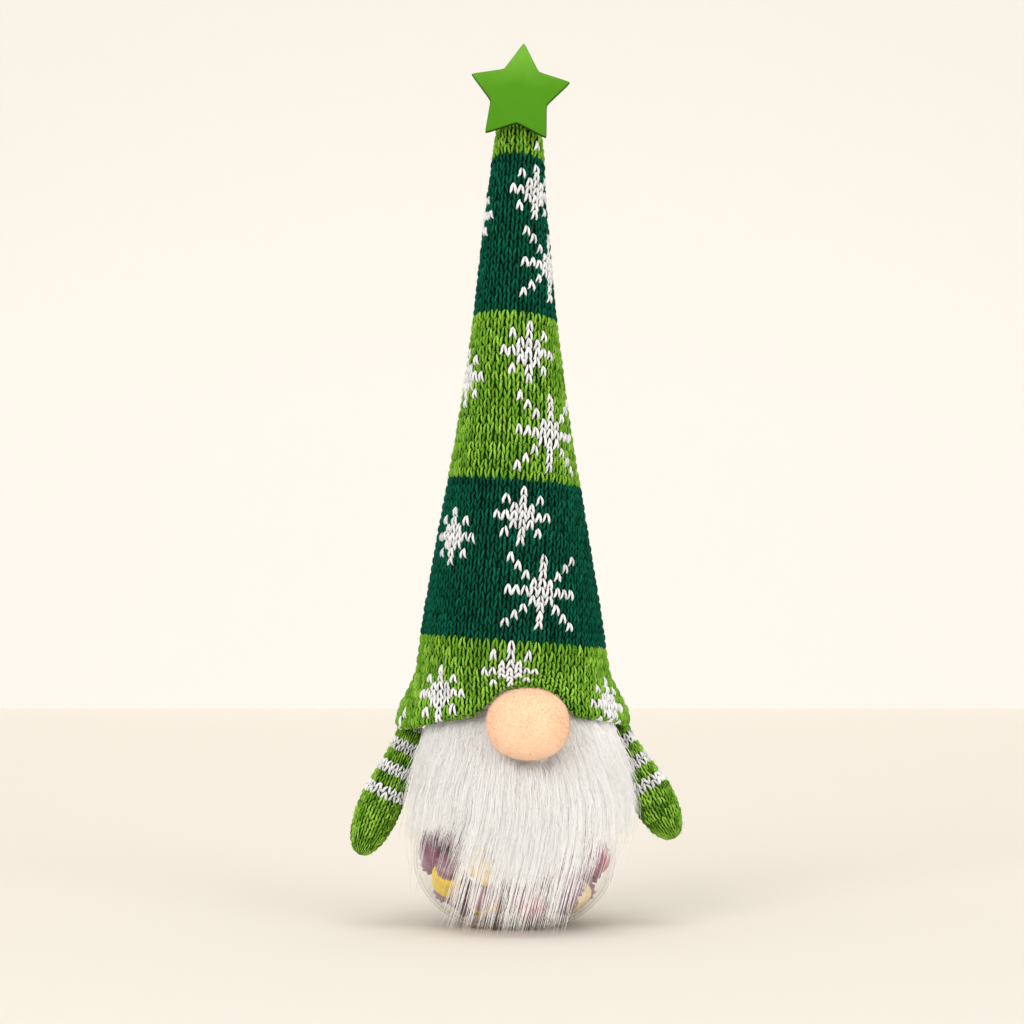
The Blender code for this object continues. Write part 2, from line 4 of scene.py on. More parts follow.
import bpy
import numpy as np
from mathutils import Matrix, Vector


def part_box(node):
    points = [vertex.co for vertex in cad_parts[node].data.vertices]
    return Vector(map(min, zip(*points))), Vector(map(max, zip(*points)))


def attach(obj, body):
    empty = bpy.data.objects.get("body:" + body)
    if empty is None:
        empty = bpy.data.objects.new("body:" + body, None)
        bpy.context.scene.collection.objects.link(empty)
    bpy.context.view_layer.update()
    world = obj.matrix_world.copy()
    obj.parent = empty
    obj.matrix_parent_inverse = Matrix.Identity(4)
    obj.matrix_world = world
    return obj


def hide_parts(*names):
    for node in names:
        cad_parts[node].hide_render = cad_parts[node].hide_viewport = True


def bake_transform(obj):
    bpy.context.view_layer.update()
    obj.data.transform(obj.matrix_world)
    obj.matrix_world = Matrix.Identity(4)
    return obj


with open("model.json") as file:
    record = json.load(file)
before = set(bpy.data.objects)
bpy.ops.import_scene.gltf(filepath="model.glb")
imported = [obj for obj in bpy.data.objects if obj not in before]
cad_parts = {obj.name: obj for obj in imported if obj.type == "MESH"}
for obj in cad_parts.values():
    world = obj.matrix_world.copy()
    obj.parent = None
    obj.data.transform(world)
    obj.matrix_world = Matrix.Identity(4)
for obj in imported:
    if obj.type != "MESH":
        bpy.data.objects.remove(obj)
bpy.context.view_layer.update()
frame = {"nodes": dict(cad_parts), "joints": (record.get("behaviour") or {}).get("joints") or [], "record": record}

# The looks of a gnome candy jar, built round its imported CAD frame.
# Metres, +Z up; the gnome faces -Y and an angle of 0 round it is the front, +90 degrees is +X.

MM = 0.001


def mm(*values):
    """An array of lengths given in millimetres."""
    return np.array(values) * MM


# ---- Places from the CAD frame ----

HAT_LOW, HAT_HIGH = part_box("hat_shell")
NOSE_LOW, NOSE_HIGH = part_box("nose")
NOSE = (NOSE_LOW + NOSE_HIGH) / 2
NOSE_HALF = (NOSE_HIGH - NOSE_LOW) / 2
STAR_LOW, STAR_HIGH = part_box("star")
JAR_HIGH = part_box("jar_body")[1]
CAP_LOW, CAP_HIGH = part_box("screw_cap")
BEARD_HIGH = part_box("beard")[1]
BRIM_Z = HAT_LOW.z
FRILL_TOP_Z = HAT_HIGH.z
JOINTS = {joint["name"]: joint for joint in frame["joints"]}

# ---- The hat's shape and its knit ----

CONE_HEIGHTS = mm(
    60.0, 99.0, 109.8, 131.4, 153.0, 174.6, 196.2, 217.8, 239.4, 261.0, 277.2, 290.5)
CONE_RADII = mm(39.05, 33.7, 32.3, 28.6, 24.9, 21.0, 17.8, 15.0, 12.8, 10.6, 9.2, 7.5)
LEAN_HEIGHTS = mm(70.0, 110.0, 150.0, 200.0, 240.0, 261.0, 277.2, 290.5)
LEAN_OFFSETS = mm(-0.6, -0.8, -0.5, 0.0, 0.3, 0.6, 1.4, 1.75)
FLARE_TOP_Z = 93.0 * MM
FLARE_HEIGHT = 18.0 * MM
FLARE = 4.9 * MM
BRIM_FRONT_RISE = 4.8 * MM
BRIM_ARCH = 10.4 * MM
BRIM_ARCH_HALF_WIDTH = 15.0 * MM
BRIM_LEFT_DIP = 2.4 * MM
BRIM_LEFT_X = -34.0 * MM
BRIM_LEFT_HALF_WIDTH = 9.0 * MM
BRIM_CURL = 1.5 * MM
BRIM_LIFT_SHARE = 0.6
LEAST_RADIUS = 6.5 * MM
GATHER_HEIGHTS = mm(290.5, 292.7, 294.7, 295.6, 297.0, 298.4, 299.5)
GATHER_RADII = mm(7.41, 6.80, 4.60, 3.50, 3.50, 5.00, 5.20)

WALE = 3.08 * MM
ROW_FALL = 0.077
SAG_HEIGHTS = mm(100.0, 160.0, 220.0, 277.0)
SAGS = mm(1.2, 1.4, 2.4, 2.6)
WALE_HEIGHTS = mm(92.5, 146.0, 180.0, 207.0, 264.0)
WALE_SHIFTS = mm(-1.0, 3.3, 5.1, 5.2, 7.8)
KNIT_ROWS = np.array((-8.0, 0.0, 13.5, 16.5, 20.0, 39.0, 52.0, 56.0, 59.0, 62.5, 65.5, 74.0))
KNIT_HEIGHTS = mm(
    301.2, 277.2, 238.5, 230.4, 220.3, 160.6, 122.9, 111.2, 103.5, 90.9, 82.3, 53.0)
BANDS = (0, 20, 39, 59)
FLAKE_REPEATS = (23, 23, 26, 23)
FLAKE_RAISES = (0, 0, 0, 1)
FLAKES = ((0, 4, 3, 2), (-9, 7, 3, 2), (3, 13, 4, 4))
LONE_STITCH = (0, -2)


def ease(share):
    share = np.clip(share, 0.0, 1.0)
    return share * share * (3 - 2 * share)


def unit(vectors):
    return vectors / np.maximum(np.linalg.norm(vectors, axis=-1, keepdims=True), 1e-12)


def lean(z):
    return np.interp(z, LEAN_HEIGHTS, LEAN_OFFSETS)


def hat_cone(z):
    return np.interp(z, CONE_HEIGHTS, CONE_RADII) + FLARE * ease((FLARE_TOP_Z - z) / FLARE_HEIGHT)


def hat_radius(z):
    """The cone, and above it the tip that a thread draws in."""
    return np.where(z > GATHER_HEIGHTS[0], np.interp(z, GATHER_HEIGHTS, GATHER_RADII), hat_cone(z))


def brim_rise(theta):
    """How far the brim's edge stands above its sides: over the front and nose; its left corner sags."""
    x = hat_cone(BRIM_Z) * np.sin(theta)
    front = np.cos(theta) > 0
    arch = np.where(front, np.exp(-(((x - NOSE.x) / BRIM_ARCH_HALF_WIDTH) ** 4)), 0.0)
    dip = np.where(front, np.exp(-(((x - BRIM_LEFT_X) / BRIM_LEFT_HALF_WIDTH) ** 2)), 0.0)
    dip = dip * ease(np.cos(theta) / 0.3)
    return BRIM_FRONT_RISE * ease(np.cos(theta)) + BRIM_ARCH * arch - BRIM_LEFT_DIP * dip


def row_drop(z, r, theta):
    """How far a knitted row hangs below its height at the front."""
    return ROW_FALL * r * np.sin(theta) + np.interp(z, SAG_HEIGHTS, SAGS) * (1 - np.cos(theta))


def hat_place(p, q):
    """Angle, height and length rolled under the edge, for p across and q up the knitted panel."""
    z = q
    for _ in range(6):
        r = np.maximum(hat_cone(z), LEAST_RADIUS)
        theta = (p + np.interp(z, WALE_HEIGHTS, WALE_SHIFTS)) / r
        z = q - row_drop(z, r, theta)
    rise = brim_rise(theta)
    z = z + BRIM_LIFT_SHARE * rise * ease((FLARE_TOP_Z + 6 * MM - z) / (FLARE_HEIGHT + 8 * MM))
    edge = BRIM_Z + rise + BRIM_CURL
    return theta, z, edge, np.maximum(0.0, edge - z)


def hat_point(p, q, out):
    theta, z, edge, over = hat_place(p, q)
    turn = np.minimum(over / BRIM_CURL, 2.9)
    pleat = 0.5 * MM * ease((z - 291.5 * MM) / (3 * MM)) * np.cos(9 * theta)
    level = np.where(over > 0, edge, np.minimum(z, FRILL_TOP_Z - 0.2 * MM))
    r = hat_radius(level) + pleat
    r = r - BRIM_CURL + (BRIM_CURL + out) * np.cos(turn)
    level = level - (BRIM_CURL + out) * np.sin(turn)
    return np.stack((lean(level) + r * np.sin(theta), -r * np.cos(theta), level), axis=-1)


def outward(points):
    """Unit vectors straight out from the hat's axis."""
    away = points.copy()
    away[..., 0] -= lean(points[..., 2])
    away[..., 2] = 0.12 * np.linalg.norm(away[..., :2], axis=-1)
    return unit(away)


# ---- Meshes ----

def mesh_of(name, points, face_groups, **attributes):
    """A mesh from arrays; each face group holds faces with the same number of corners."""
    groups = [np.asarray(g, np.int32) for g in face_groups if len(g)]
    corners = np.concatenate([g.ravel() for g in groups])
    sizes = np.concatenate([np.full(len(g), g.shape[1]) for g in groups])
    mesh = bpy.data.meshes.new(name)
    mesh.vertices.add(len(points))
    mesh.vertices.foreach_set("co", np.asarray(points, np.float32).ravel())
    mesh.loops.add(len(corners))
    mesh.loops.foreach_set("vertex_index", corners)
    mesh.polygons.add(len(sizes))
    mesh.polygons.foreach_set("loop_start", np.concatenate(([0], np.cumsum(sizes)[:-1])).astype(np.int32))
    mesh.update(calc_edges=True)
    mesh.shade_smooth()
    for key, values in attributes.items():
        values = np.asarray(values, np.float32)
        vector = values.ndim == 2
        layer = mesh.attributes.new(key, "FLOAT_VECTOR" if vector else "FLOAT", "POINT")
        layer.data.foreach_set("vector" if vector else "value", values.ravel())
    return mesh


def placed(name, data):
    obj = bpy.data.objects.new(name, data)
    bpy.context.scene.collection.objects.link(obj)
    return obj


def piece(mesh, material, body, stands_for=()):
    mesh.materials.append(material)
    obj = placed(mesh.name, mesh)
    if body is not None:
        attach(obj, body)
    if stands_for:
        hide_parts(*stands_for)
    return obj


def tubes(lines, radii, away, sides, flatten=1.0):
    """Points, quads, triangles and ply coordinates of many tubes: lines (n, k, 3), radii (n, k)."""
    n, k, _ = lines.shape
    along = unit(np.gradient(lines, axis=1))
    across = unit(np.cross(along, away))
    up = np.cross(across, along)
    turn = 2 * np.pi * (np.arange(sides) + 0.5) / sides - np.pi / 2
    spread = np.cos(turn)[:, None] * across[:, :, None] + flatten * np.sin(turn)[:, None] * up[:, :, None]
    rings = lines[:, :, None] + radii[:, :, None, None] * spread
    start = lines[:, :1] - along[:, :1] * radii[:, :1, None] * 0.7
    end = lines[:, -1:] + along[:, -1:] * radii[:, -1:, None] * 0.7
    points = np.concatenate((rings.reshape(n, k * sides, 3), start, end), axis=1)
    j, i = np.meshgrid(np.arange(k - 1), np.arange(sides), indexing="ij")
    here, beside = (j * sides + i).ravel(), (j * sides + (i + 1) % sides).ravel()
    quads = np.stack((here, here + sides, beside + sides, beside), axis=1)
    side = np.arange(sides)
    beside = (side + 1) % sides
    last = (k - 1) * sides
    caps = np.concatenate((
        np.stack((side, beside, np.full(sides, k * sides)), axis=1),
        np.stack((last + beside, last + side, np.full(sides, k * sides + 1)), axis=1),
    ))
    shift = (np.arange(n) * (k * sides + 2))[:, None, None]
    steps = np.linalg.norm(np.diff(lines, axis=1), axis=2)
    run = np.concatenate((np.zeros((n, 1)), steps.cumsum(axis=1)), axis=1)
    ply = np.zeros((n, k * sides + 2, 3))
    ply[:, :-2, 0] = np.repeat(run, sides, axis=1) / MM
    ply[:, -1, 0] = run[:, -1] / MM
    ply[:, :-2, 1] = np.tile((np.arange(sides) + 0.5) / sides, k)
    return (points.reshape(-1, 3), (quads + shift).reshape(-1, 4), (caps + shift).reshape(-1, 3),
            ply.reshape(-1, 3), k * sides + 2)


def tube_mesh(name, lines, radii, away, sides, tone, flatten=1.0):
    points, quads, caps, ply, block = tubes(lines, radii, away, sides, flatten)
    return mesh_of(name, points, (quads, caps), ply=ply, tone=np.repeat(tone, block))


def grid_faces(rows, columns, wrap):
    """Quads over a grid of points, wrapped across its columns or not."""
    j, i = np.meshgrid(np.arange(rows - 1), np.arange(columns if wrap else columns - 1), indexing="ij")
    here, beside = (j * columns + i).ravel(), (j * columns + (i + 1) % columns).ravel()
    return np.stack((here, beside, beside + columns, here + columns), axis=1)


def capped_faces(rows, columns):
    """Faces of rings joined in order, and fanned to two end points that follow the rings' own."""
    k = np.arange(columns)
    after = (k + 1) % columns
    count = rows * columns
    first = np.stack((after, k, np.full(columns, count)), axis=1)
    last = np.stack((count - columns + k, count - columns + after, np.full(columns, count + 1)), axis=1)
    return grid_faces(rows, columns, True), first, last


def around(r, angle, z):
    """Points at a radius, angle and height round the upright axis."""
    return np.stack(np.broadcast_arrays(r * np.sin(angle), -r * np.cos(angle), z), axis=-1)


# ---- Materials ----

def principled(name, roughness, **sockets):
    material = bpy.data.materials.new(name)
    material.use_nodes = True
    shader = material.node_tree.nodes["Principled BSDF"]
    shader.inputs["Roughness"].default_value = roughness
    for key, value in sockets.items():
        shader.inputs[key.replace("_", " ")].default_value = value
    return material, material.node_tree, shader


def add_node(tree, kind, links=(), **settings):
    node = tree.nodes.new(kind)
    for key, value in settings.items():
        if hasattr(node, key):
            setattr(node, key, value)
        else:
            node.inputs[key.replace("_", " ")].default_value = value
    for socket, source in links:
        tree.links.new(source, node.inputs[socket])
    return node


def noise(tree, where, scale, detail=3.0, roughness=0.55):
    node = add_node(tree, "ShaderNodeTexNoise", (("Vector", where),), Scale=scale, Detail=detail,
                    Roughness=roughness)
    return node.outputs["Fac"]


def attribute(tree, name, output="Fac"):
    return add_node(tree, "ShaderNodeAttribute", attribute_name=name).outputs[output]


def split(tree, vector):
    return add_node(tree, "ShaderNodeSeparateXYZ", ((0, vector),)).outputs


def mix(tree, factor, first, second, blend="MIX"):
    """A colour between two by a factor; each is a socket or a constant."""
    node = add_node(tree, "ShaderNodeMix", data_type="RGBA", blend_type=blend)
    for index, value in zip((0, 6, 7), (factor, first, second)):
        if isinstance(value, bpy.types.NodeSocket):
            tree.links.new(value, node.inputs[index])
        else:
            node.inputs[index].default_value = value
    return node.outputs[2]


def ramp(tree, factor, *stops):
    """Colours at positions, each stop as (position, (r, g, b))."""
    node = add_node(tree, "ShaderNodeValToRGB", ((0, factor),))
    elements = node.color_ramp.elements
    while len(elements) < len(stops):
        elements.new(0.5)
    for element, (position, colour) in zip(elements, stops):
        element.position = position
        element.color = (*colour, 1.0)
    return node.outputs["Color"]


def maths(tree, operation, first, second=None, clamp=False):
    node = tree.nodes.new("ShaderNodeMath")
    node.operation = operation
    node.use_clamp = clamp
    for socket, value in zip(node.inputs, (first, second)):
        if isinstance(value, (int, float)):
            socket.default_value = value
        elif value is not None:
            tree.links.new(value, socket)
    return node.outputs[0]


def times(tree, first, second, clamp=False):
    return maths(tree, "MULTIPLY", first, second, clamp)


def plus(tree, first, second, clamp=False):
    return maths(tree, "ADD", first, second, clamp)


def paint(tree, shader, colour):
    tree.links.new(colour, shader.inputs["Base Color"])


def relief(tree, shader, height, distance, strength=1.0):
    bump = add_node(tree, "ShaderNodeBump", (("Height", height),), Strength=strength, Distance=distance)
    tree.links.new(bump.outputs["Normal"], shader.inputs["Normal"])


def place_of(tree):
    return tree.nodes.new("ShaderNodeTexCoord").outputs["Object"]


def yarn(name, dark, middle, light, sheen=0.0):
    """Plied acrylic yarn: tone by stitch, finer mottling, the twist of its plies as relief, and a little painted
    shade darkening the ply grooves.
    """
    material, tree, shader = principled(name, 0.9, Sheen_Weight=sheen, Sheen_Roughness=0.5,
                                        Specular_IOR_Level=0.06)
    tone = attribute(tree, "tone")
    ply = split(tree, attribute(tree, "ply", "Vector"))
    phase = plus(tree, times(tree, ply["X"], 0.55), ply["Y"])
    twist = maths(tree, "SINE", times(tree, phase, 4 * math.pi))
    fibres = noise(tree, place_of(tree), 1700.0, 3.0, 0.7)
    patches = noise(tree, place_of(tree), 90.0, 2.0)
    mixed = plus(tree, times(tree, tone, 0.50), times(tree, fibres, 0.90))
    mixed = plus(tree, maths(tree, "SUBTRACT", mixed, 0.28), times(tree, patches, 0.20))
    # Painted shade: the colour follows the ply twist, a little darker in its grooves and lighter on its crests.
    mixed = plus(tree, mixed, times(tree, twist, 0.06), clamp=True)
    paint(tree, shader, ramp(tree, mixed, (0.15, dark), (0.5, middle), (0.9, light)))
    height = plus(tree, times(tree, twist, 0.35), fibres)
    relief(tree, shader, height, 0.10 * MM, 0.6)
    return material


def mottled(name, low, high, scale, roughness, fine=0.0, depth=0.0, detail=3.0, **sockets):
    """A surface whose colour wanders between two tones, with a fine relief."""
    material, tree, shader = principled(name, roughness, **sockets)
    where = place_of(tree)
    wander = noise(tree, where, scale, detail)
    paint(tree, shader, ramp(tree, wander, (0.3, low), (0.7, high)))
    if depth:
        relief(tree, shader, noise(tree, where, fine, 2.0), depth)
    return material


LIGHT_YARN = yarn("light_green_yarn", (0.030, 0.105, 0.006), (0.130, 0.315, 0.018), (0.350, 0.610, 0.078),
                  sheen=0.03)
DARK_YARN = yarn("dark_green_yarn", (0.0003, 0.022, 0.013), (0.001, 0.068, 0.036), (0.003, 0.130, 0.070))
WHITE_YARN = yarn("white_yarn", (0.46, 0.46, 0.47), (0.70, 0.70, 0.70), (0.88, 0.88, 0.87), sheen=0.05)


# ---- The knitted hat ----

BAND_NAMES = ("tip", "upper", "middle", "lower", "brim")
BAND_YARNS = (LIGHT_YARN, DARK_YARN, LIGHT_YARN, DARK_YARN, LIGHT_YARN)


def is_white(column, row):
    """True where the snowflake charts have white yarn."""
    found = np.zeros(column.shape, bool)
    for start, repeat, rise in zip(BANDS, FLAKE_REPEATS, FLAKE_RAISES):
        for flake_column, flake_row, straight, slant in FLAKES:
            across = (column - flake_column + repeat // 2) % repeat - repeat // 2
            down = row - (start + flake_row - rise)
            on_axis = ((across == 0) & (abs(down) <= straight)) | ((down == 0) & (abs(across) <= straight))
            on_slant = (abs(across) == abs(down)) & (abs(across) <= slant)
            found |= on_axis | on_slant
    lone_column, lone_row = LONE_STITCH
    return (found & (row >= 0)) | ((column == lone_column) & (row == lone_row))


def row_height(row):
    return np.interp(row, KNIT_ROWS, KNIT_HEIGHTS)


def dark_row(row):
    return ((row >= BANDS[0]) & (row < BANDS[1])) | ((row >= BANDS[2]) & (row < BANDS[3]))


def stitch_legs(columns, rows, chance, spread):
    """Both legs of each stitch as (across in wales, down in rows, out in mm, radius in mm)."""
    share = np.linspace(0.0, 1.0, 6)
    n = len(columns)
    legs = []
    for side in (-1.0, 1.0):
        reach = spread[0] + spread[1] * share ** 0.85
        across = columns[:, None] + side * reach + chance.normal(0, 0.040, (n, 1))
        across = across + chance.normal(0, 0.026, (n, 6))
        down = rows[:, None] - 0.10 + 1.30 * share + chance.normal(0, 0.08, (n, 1))
        out = np.array((-0.80, -0.34, -0.16, -0.22, -0.50, -1.05)) + chance.normal(0, 0.10, (n, 1))
        radius = np.array((0.24, 0.39, 0.46, 0.46, 0.39, 0.22)) * chance.normal(1.0, 0.09, (n, 1))
        legs.append((across, down, out + 0 * across, radius))
    return [np.concatenate(pair) for pair in zip(*legs)]


def knit_hat(chance):
    reach = int(math.ceil(math.pi * hat_cone(BRIM_Z) / WALE)) + 2
    column, row = np.meshgrid(np.arange(-reach, reach + 1), np.arange(-6, 72), indexing="ij")
    column, row = column.ravel(), row.ravel()
    theta, z, _, over = hat_place(column * WALE, row_height(row + 0.5))
    kept = (abs(theta) < math.pi) & (over < 1.9 * BRIM_CURL) & (z < FRILL_TOP_Z - 1.5 * MM)
    column, row = column[kept], row[kept]
    white = is_white(column, row)
    edges = zip((-math.inf, *BANDS), (*BANDS, math.inf))
    groups = [(f"hat_{name}_knit", (row >= low) & (row < high) & ~white, material)
              for name, (low, high), material in zip(BAND_NAMES, edges, BAND_YARNS)]
    made = []
    for name, inside, material in (*groups, ("hat_snowflakes", white, WHITE_YARN)):
        spread = (0.07, 0.33) if material is WHITE_YARN else (0.13, 0.25)
        columns, rows = column[inside].astype(float), row[inside].astype(float)
        across, down, out, radius = stitch_legs(columns, rows, chance, spread)
        if material is WHITE_YARN:
            radius = radius * 1.14
            out = out + 0.06
        lines = hat_point(across * WALE, row_height(down), out * MM)
        tone = np.tile(chance.uniform(0.0, 1.0, inside.sum()), 2)
        tone = 0.5 * tone + 0.5 * chance.uniform(0.0, 1.0, 2 * inside.sum())
        mesh = tube_mesh(name, lines, radius * MM, outward(lines), 6, tone)
        made.append(piece(mesh, material, "head"))
    return made


PANEL_SPANS = ((299.3, 290.5, 14), (289.0, 96.0, 70), (94.5, 62.0, 40))


def hat_panel():
    """The fabric behind the stitches, rolled under at the brim and drawn in at the tip; it is coloured near black
    as painted shade, which shows in the gaps between the stitches.
    """
    columns = 120
    heights = np.concatenate([np.linspace(*span) for span in PANEL_SPANS]) * MM
    theta = 2 * math.pi * np.arange(columns) / columns - math.pi
    angle, height = np.meshgrid(theta, heights)
    r = np.maximum(hat_cone(height), LEAST_RADIUS)
    p = angle * r - np.interp(height, WALE_HEIGHTS, WALE_SHIFTS)
    points = hat_point(p, height + row_drop(height, r, angle), np.full(p.shape, -1.0 * MM))
    dark = dark_row(np.interp(-height, -KNIT_HEIGHTS, KNIT_ROWS))
    mesh = mesh_of("hat_panel", points.reshape(-1, 3), (grid_faces(len(heights), columns, True),),
                   dye=dark.ravel().astype(float))
    material, tree, shader = principled("knit_ground", 0.95, Specular_IOR_Level=0.1)
    loose = noise(tree, place_of(tree), 700.0)
    # Painted shade: both band colours are near black, standing in for the shade between the stitches.
    shaded_light_band = ramp(tree, loose, (0.3, (0.004, 0.014, 0.001)), (0.7, (0.014, 0.045, 0.003)))
    shaded_dark_band = ramp(tree, loose, (0.3, (0.0003, 0.006, 0.003)), (0.7, (0.001, 0.016, 0.009)))
    colour = mix(tree, attribute(tree, "dye"), shaded_light_band, shaded_dark_band)
    paint(tree, shader, colour)
    relief(tree, shader, loose, 0.2 * MM)
    return piece(mesh, material, "head", ("hat_shell",))


def hat_fuzz(chance, count=8000):
    """Loose fibre ends that stand off the knit."""
    p_angle = chance.uniform(-math.pi, math.pi, count)
    height = 290.0 * MM - (290.0 - 70.0) * MM * chance.uniform(0, 1, count) ** 0.5
    p = p_angle * hat_cone(height) - np.interp(height, WALE_HEIGHTS, WALE_SHIFTS)
    root = hat_point(p, height, np.full(count, -0.2 * MM))
    away = outward(root)
    wander = chance.normal(0, 1, (count, 3))
    length = chance.uniform(0.35, 0.95, (count, 1)) * MM
    first = root + away * length * 0.40 + wander * length * 0.25
    last = first + away * length * 0.20 + wander * length * 0.45
    lines = np.stack((root, (root + first) / 2 + away * 0.1 * MM, first, last), axis=1)
    radii = np.tile(mm(0.040, 0.035, 0.028, 0.010), (count, 1))
    dark = dark_row(np.interp(-height, -KNIT_HEIGHTS, KNIT_ROWS))
    side = np.cross(away, np.array((0.0, 0.0, 1.0)))[:, None]
    for name, chosen, material in (("hat_fuzz_light", ~dark, LIGHT_YARN), ("hat_fuzz_dark", dark, DARK_YARN)):
        tone = chance.uniform(0.5, 1.0, chosen.sum())
        mesh = tube_mesh(name, lines[chosen], radii[chosen], side[chosen], 3, tone)
        piece(mesh, material, "head")


def hat_seam(chance):
    """Overcast stitches down the back, where the panel's two edges meet."""
    steps = 64
    z = np.linspace(289.0, 75.0, steps) * MM
    share = np.linspace(0, 1, 7)
    turn = share * math.pi
    lines = []
    for height in z:
        angle = math.pi + (share - 0.5) * 3.4 * MM / hat_cone(height)
        level = height + (0.5 - share) * 2.2 * MM
        r = hat_cone(level) - 0.6 * MM + 0.9 * MM * np.sin(turn)
        lines.append(np.stack((lean(level) + r * np.sin(angle), -r * np.cos(angle), level), axis=-1))
    lines = np.array(lines)
    radii = np.tile(mm(0.25, 0.40, 0.45, 0.45, 0.45, 0.40, 0.25), (steps, 1))
    mesh = tube_mesh("hat_seam", lines, radii, outward(lines), 6, chance.uniform(0, 1, steps))
    return piece(mesh, DARK_YARN, "head")


def make_hat():
    chance = np.random.default_rng(7)
    panel = hat_panel()
    knit = knit_hat(chance)
    seam = hat_seam(chance)
    hat_fuzz(chance)


# ---- Star and nose ----

STAR_OUTER = 18.8 * MM
STAR_INNER = 10.6 * MM
STAR_HALF = 1.5 * MM
STAR_TURN = math.radians(5)
# Rings over its edge as (inset in mm, depth as a share of the half thickness, how much painted shade darkens it
# there).
STAR_FRONT = ((0.9, 1.0, 0.0), (0.6, 0.99, 0.0), (0.3, 0.93, 0.15), (0.08, 0.72, 0.9), (0.0, 0.4, 1.0))
STAR_EDGE = (*STAR_FRONT, *((inset, -depth, dark) for inset, depth, dark in STAR_FRONT[::-1]))
NOSE_POWER = 2.2


def make_star():
    """Punched craft foam: a flat star with soft edges, glued at a slight tilt."""
    foam, tree, shader = principled("green_craft_foam", 0.7, Specular_IOR_Level=0.12)
    where = place_of(tree)
    cells = add_node(tree, "ShaderNodeTexVoronoi", (("Vector", where),), Scale=2600.0)
    patches = times(tree, noise(tree, where, 120.0), 0.25)
    # Painted highlight: the foam is coloured lighter towards the star's top.
    height = maths(tree, "SUBTRACT", split(tree, where)["Z"], STAR_LOW.z)
    height = times(tree, height, 0.9 / (STAR_HIGH.z - STAR_LOW.z))
    colour = ramp(tree, plus(tree, height, patches), (0.1, (0.054, 0.200, 0.004)),
                  (0.6, (0.060, 0.222, 0.004)), (0.95, (0.125, 0.330, 0.026)))
    # Painted shade: the rings round the star's edge are darkened nearly to black, standing in for shade on its
    # sides.
    colour = mix(tree, attribute(tree, "cut"), colour, (0.012, 0.055, 0.002, 1.0))
    paint(tree, shader, colour)
    relief(tree, shader, cells.outputs["Distance"], 0.05 * MM, 0.5)
    centre = np.array([v.co for v in frame["nodes"]["star"].data.vertices]).mean(axis=0)
    tilt = math.radians(6)
    face = np.array((0.0, -math.cos(tilt), math.sin(tilt)))
    up = np.array((0.0, math.sin(tilt), math.cos(tilt)))
    side = np.array((1.0, 0.0, 0.0))
    outline = []
    for k in range(10):
        radius = STAR_INNER if k % 2 else STAR_OUTER
        angle = math.pi / 2 - STAR_TURN - math.pi * k / 5
        outline.append((radius * math.cos(angle), radius * math.sin(angle)))
    outline = np.array(outline)
    dense = []
    for first, second in zip(outline, np.roll(outline, -1, axis=0)):
        dense += [first + (second - first) * s for s in np.linspace(0, 1, 9)[:-1]]
    dense = np.array(dense)
    soft = (np.roll(dense, 1, axis=0) + 6 * dense + np.roll(dense, -1, axis=0)) / 8
    rings = []
    for inset, depth, _ in STAR_EDGE:
        shrink = 1 - inset * MM / np.linalg.norm(soft, axis=1, keepdims=True)
        flat = soft * shrink
        rings.append(centre + flat[:, :1] * side + flat[:, 1:] * up + face * depth * STAR_HALF)
    count = len(soft)
    k = np.arange(count)
    front, back = k[None, ::-1], (k + count * (len(rings) - 1))[None]
    quads = grid_faces(len(rings), count, True)
    darker = np.repeat([dark for _, _, dark in STAR_EDGE], count)
    mesh = mesh_of("foam_star", np.concatenate(rings), (quads, front, back), cut=darker)
    mesh.set_sharp_from_angle(angle=math.radians(40))
    piece(mesh, foam, "head", ("star",))


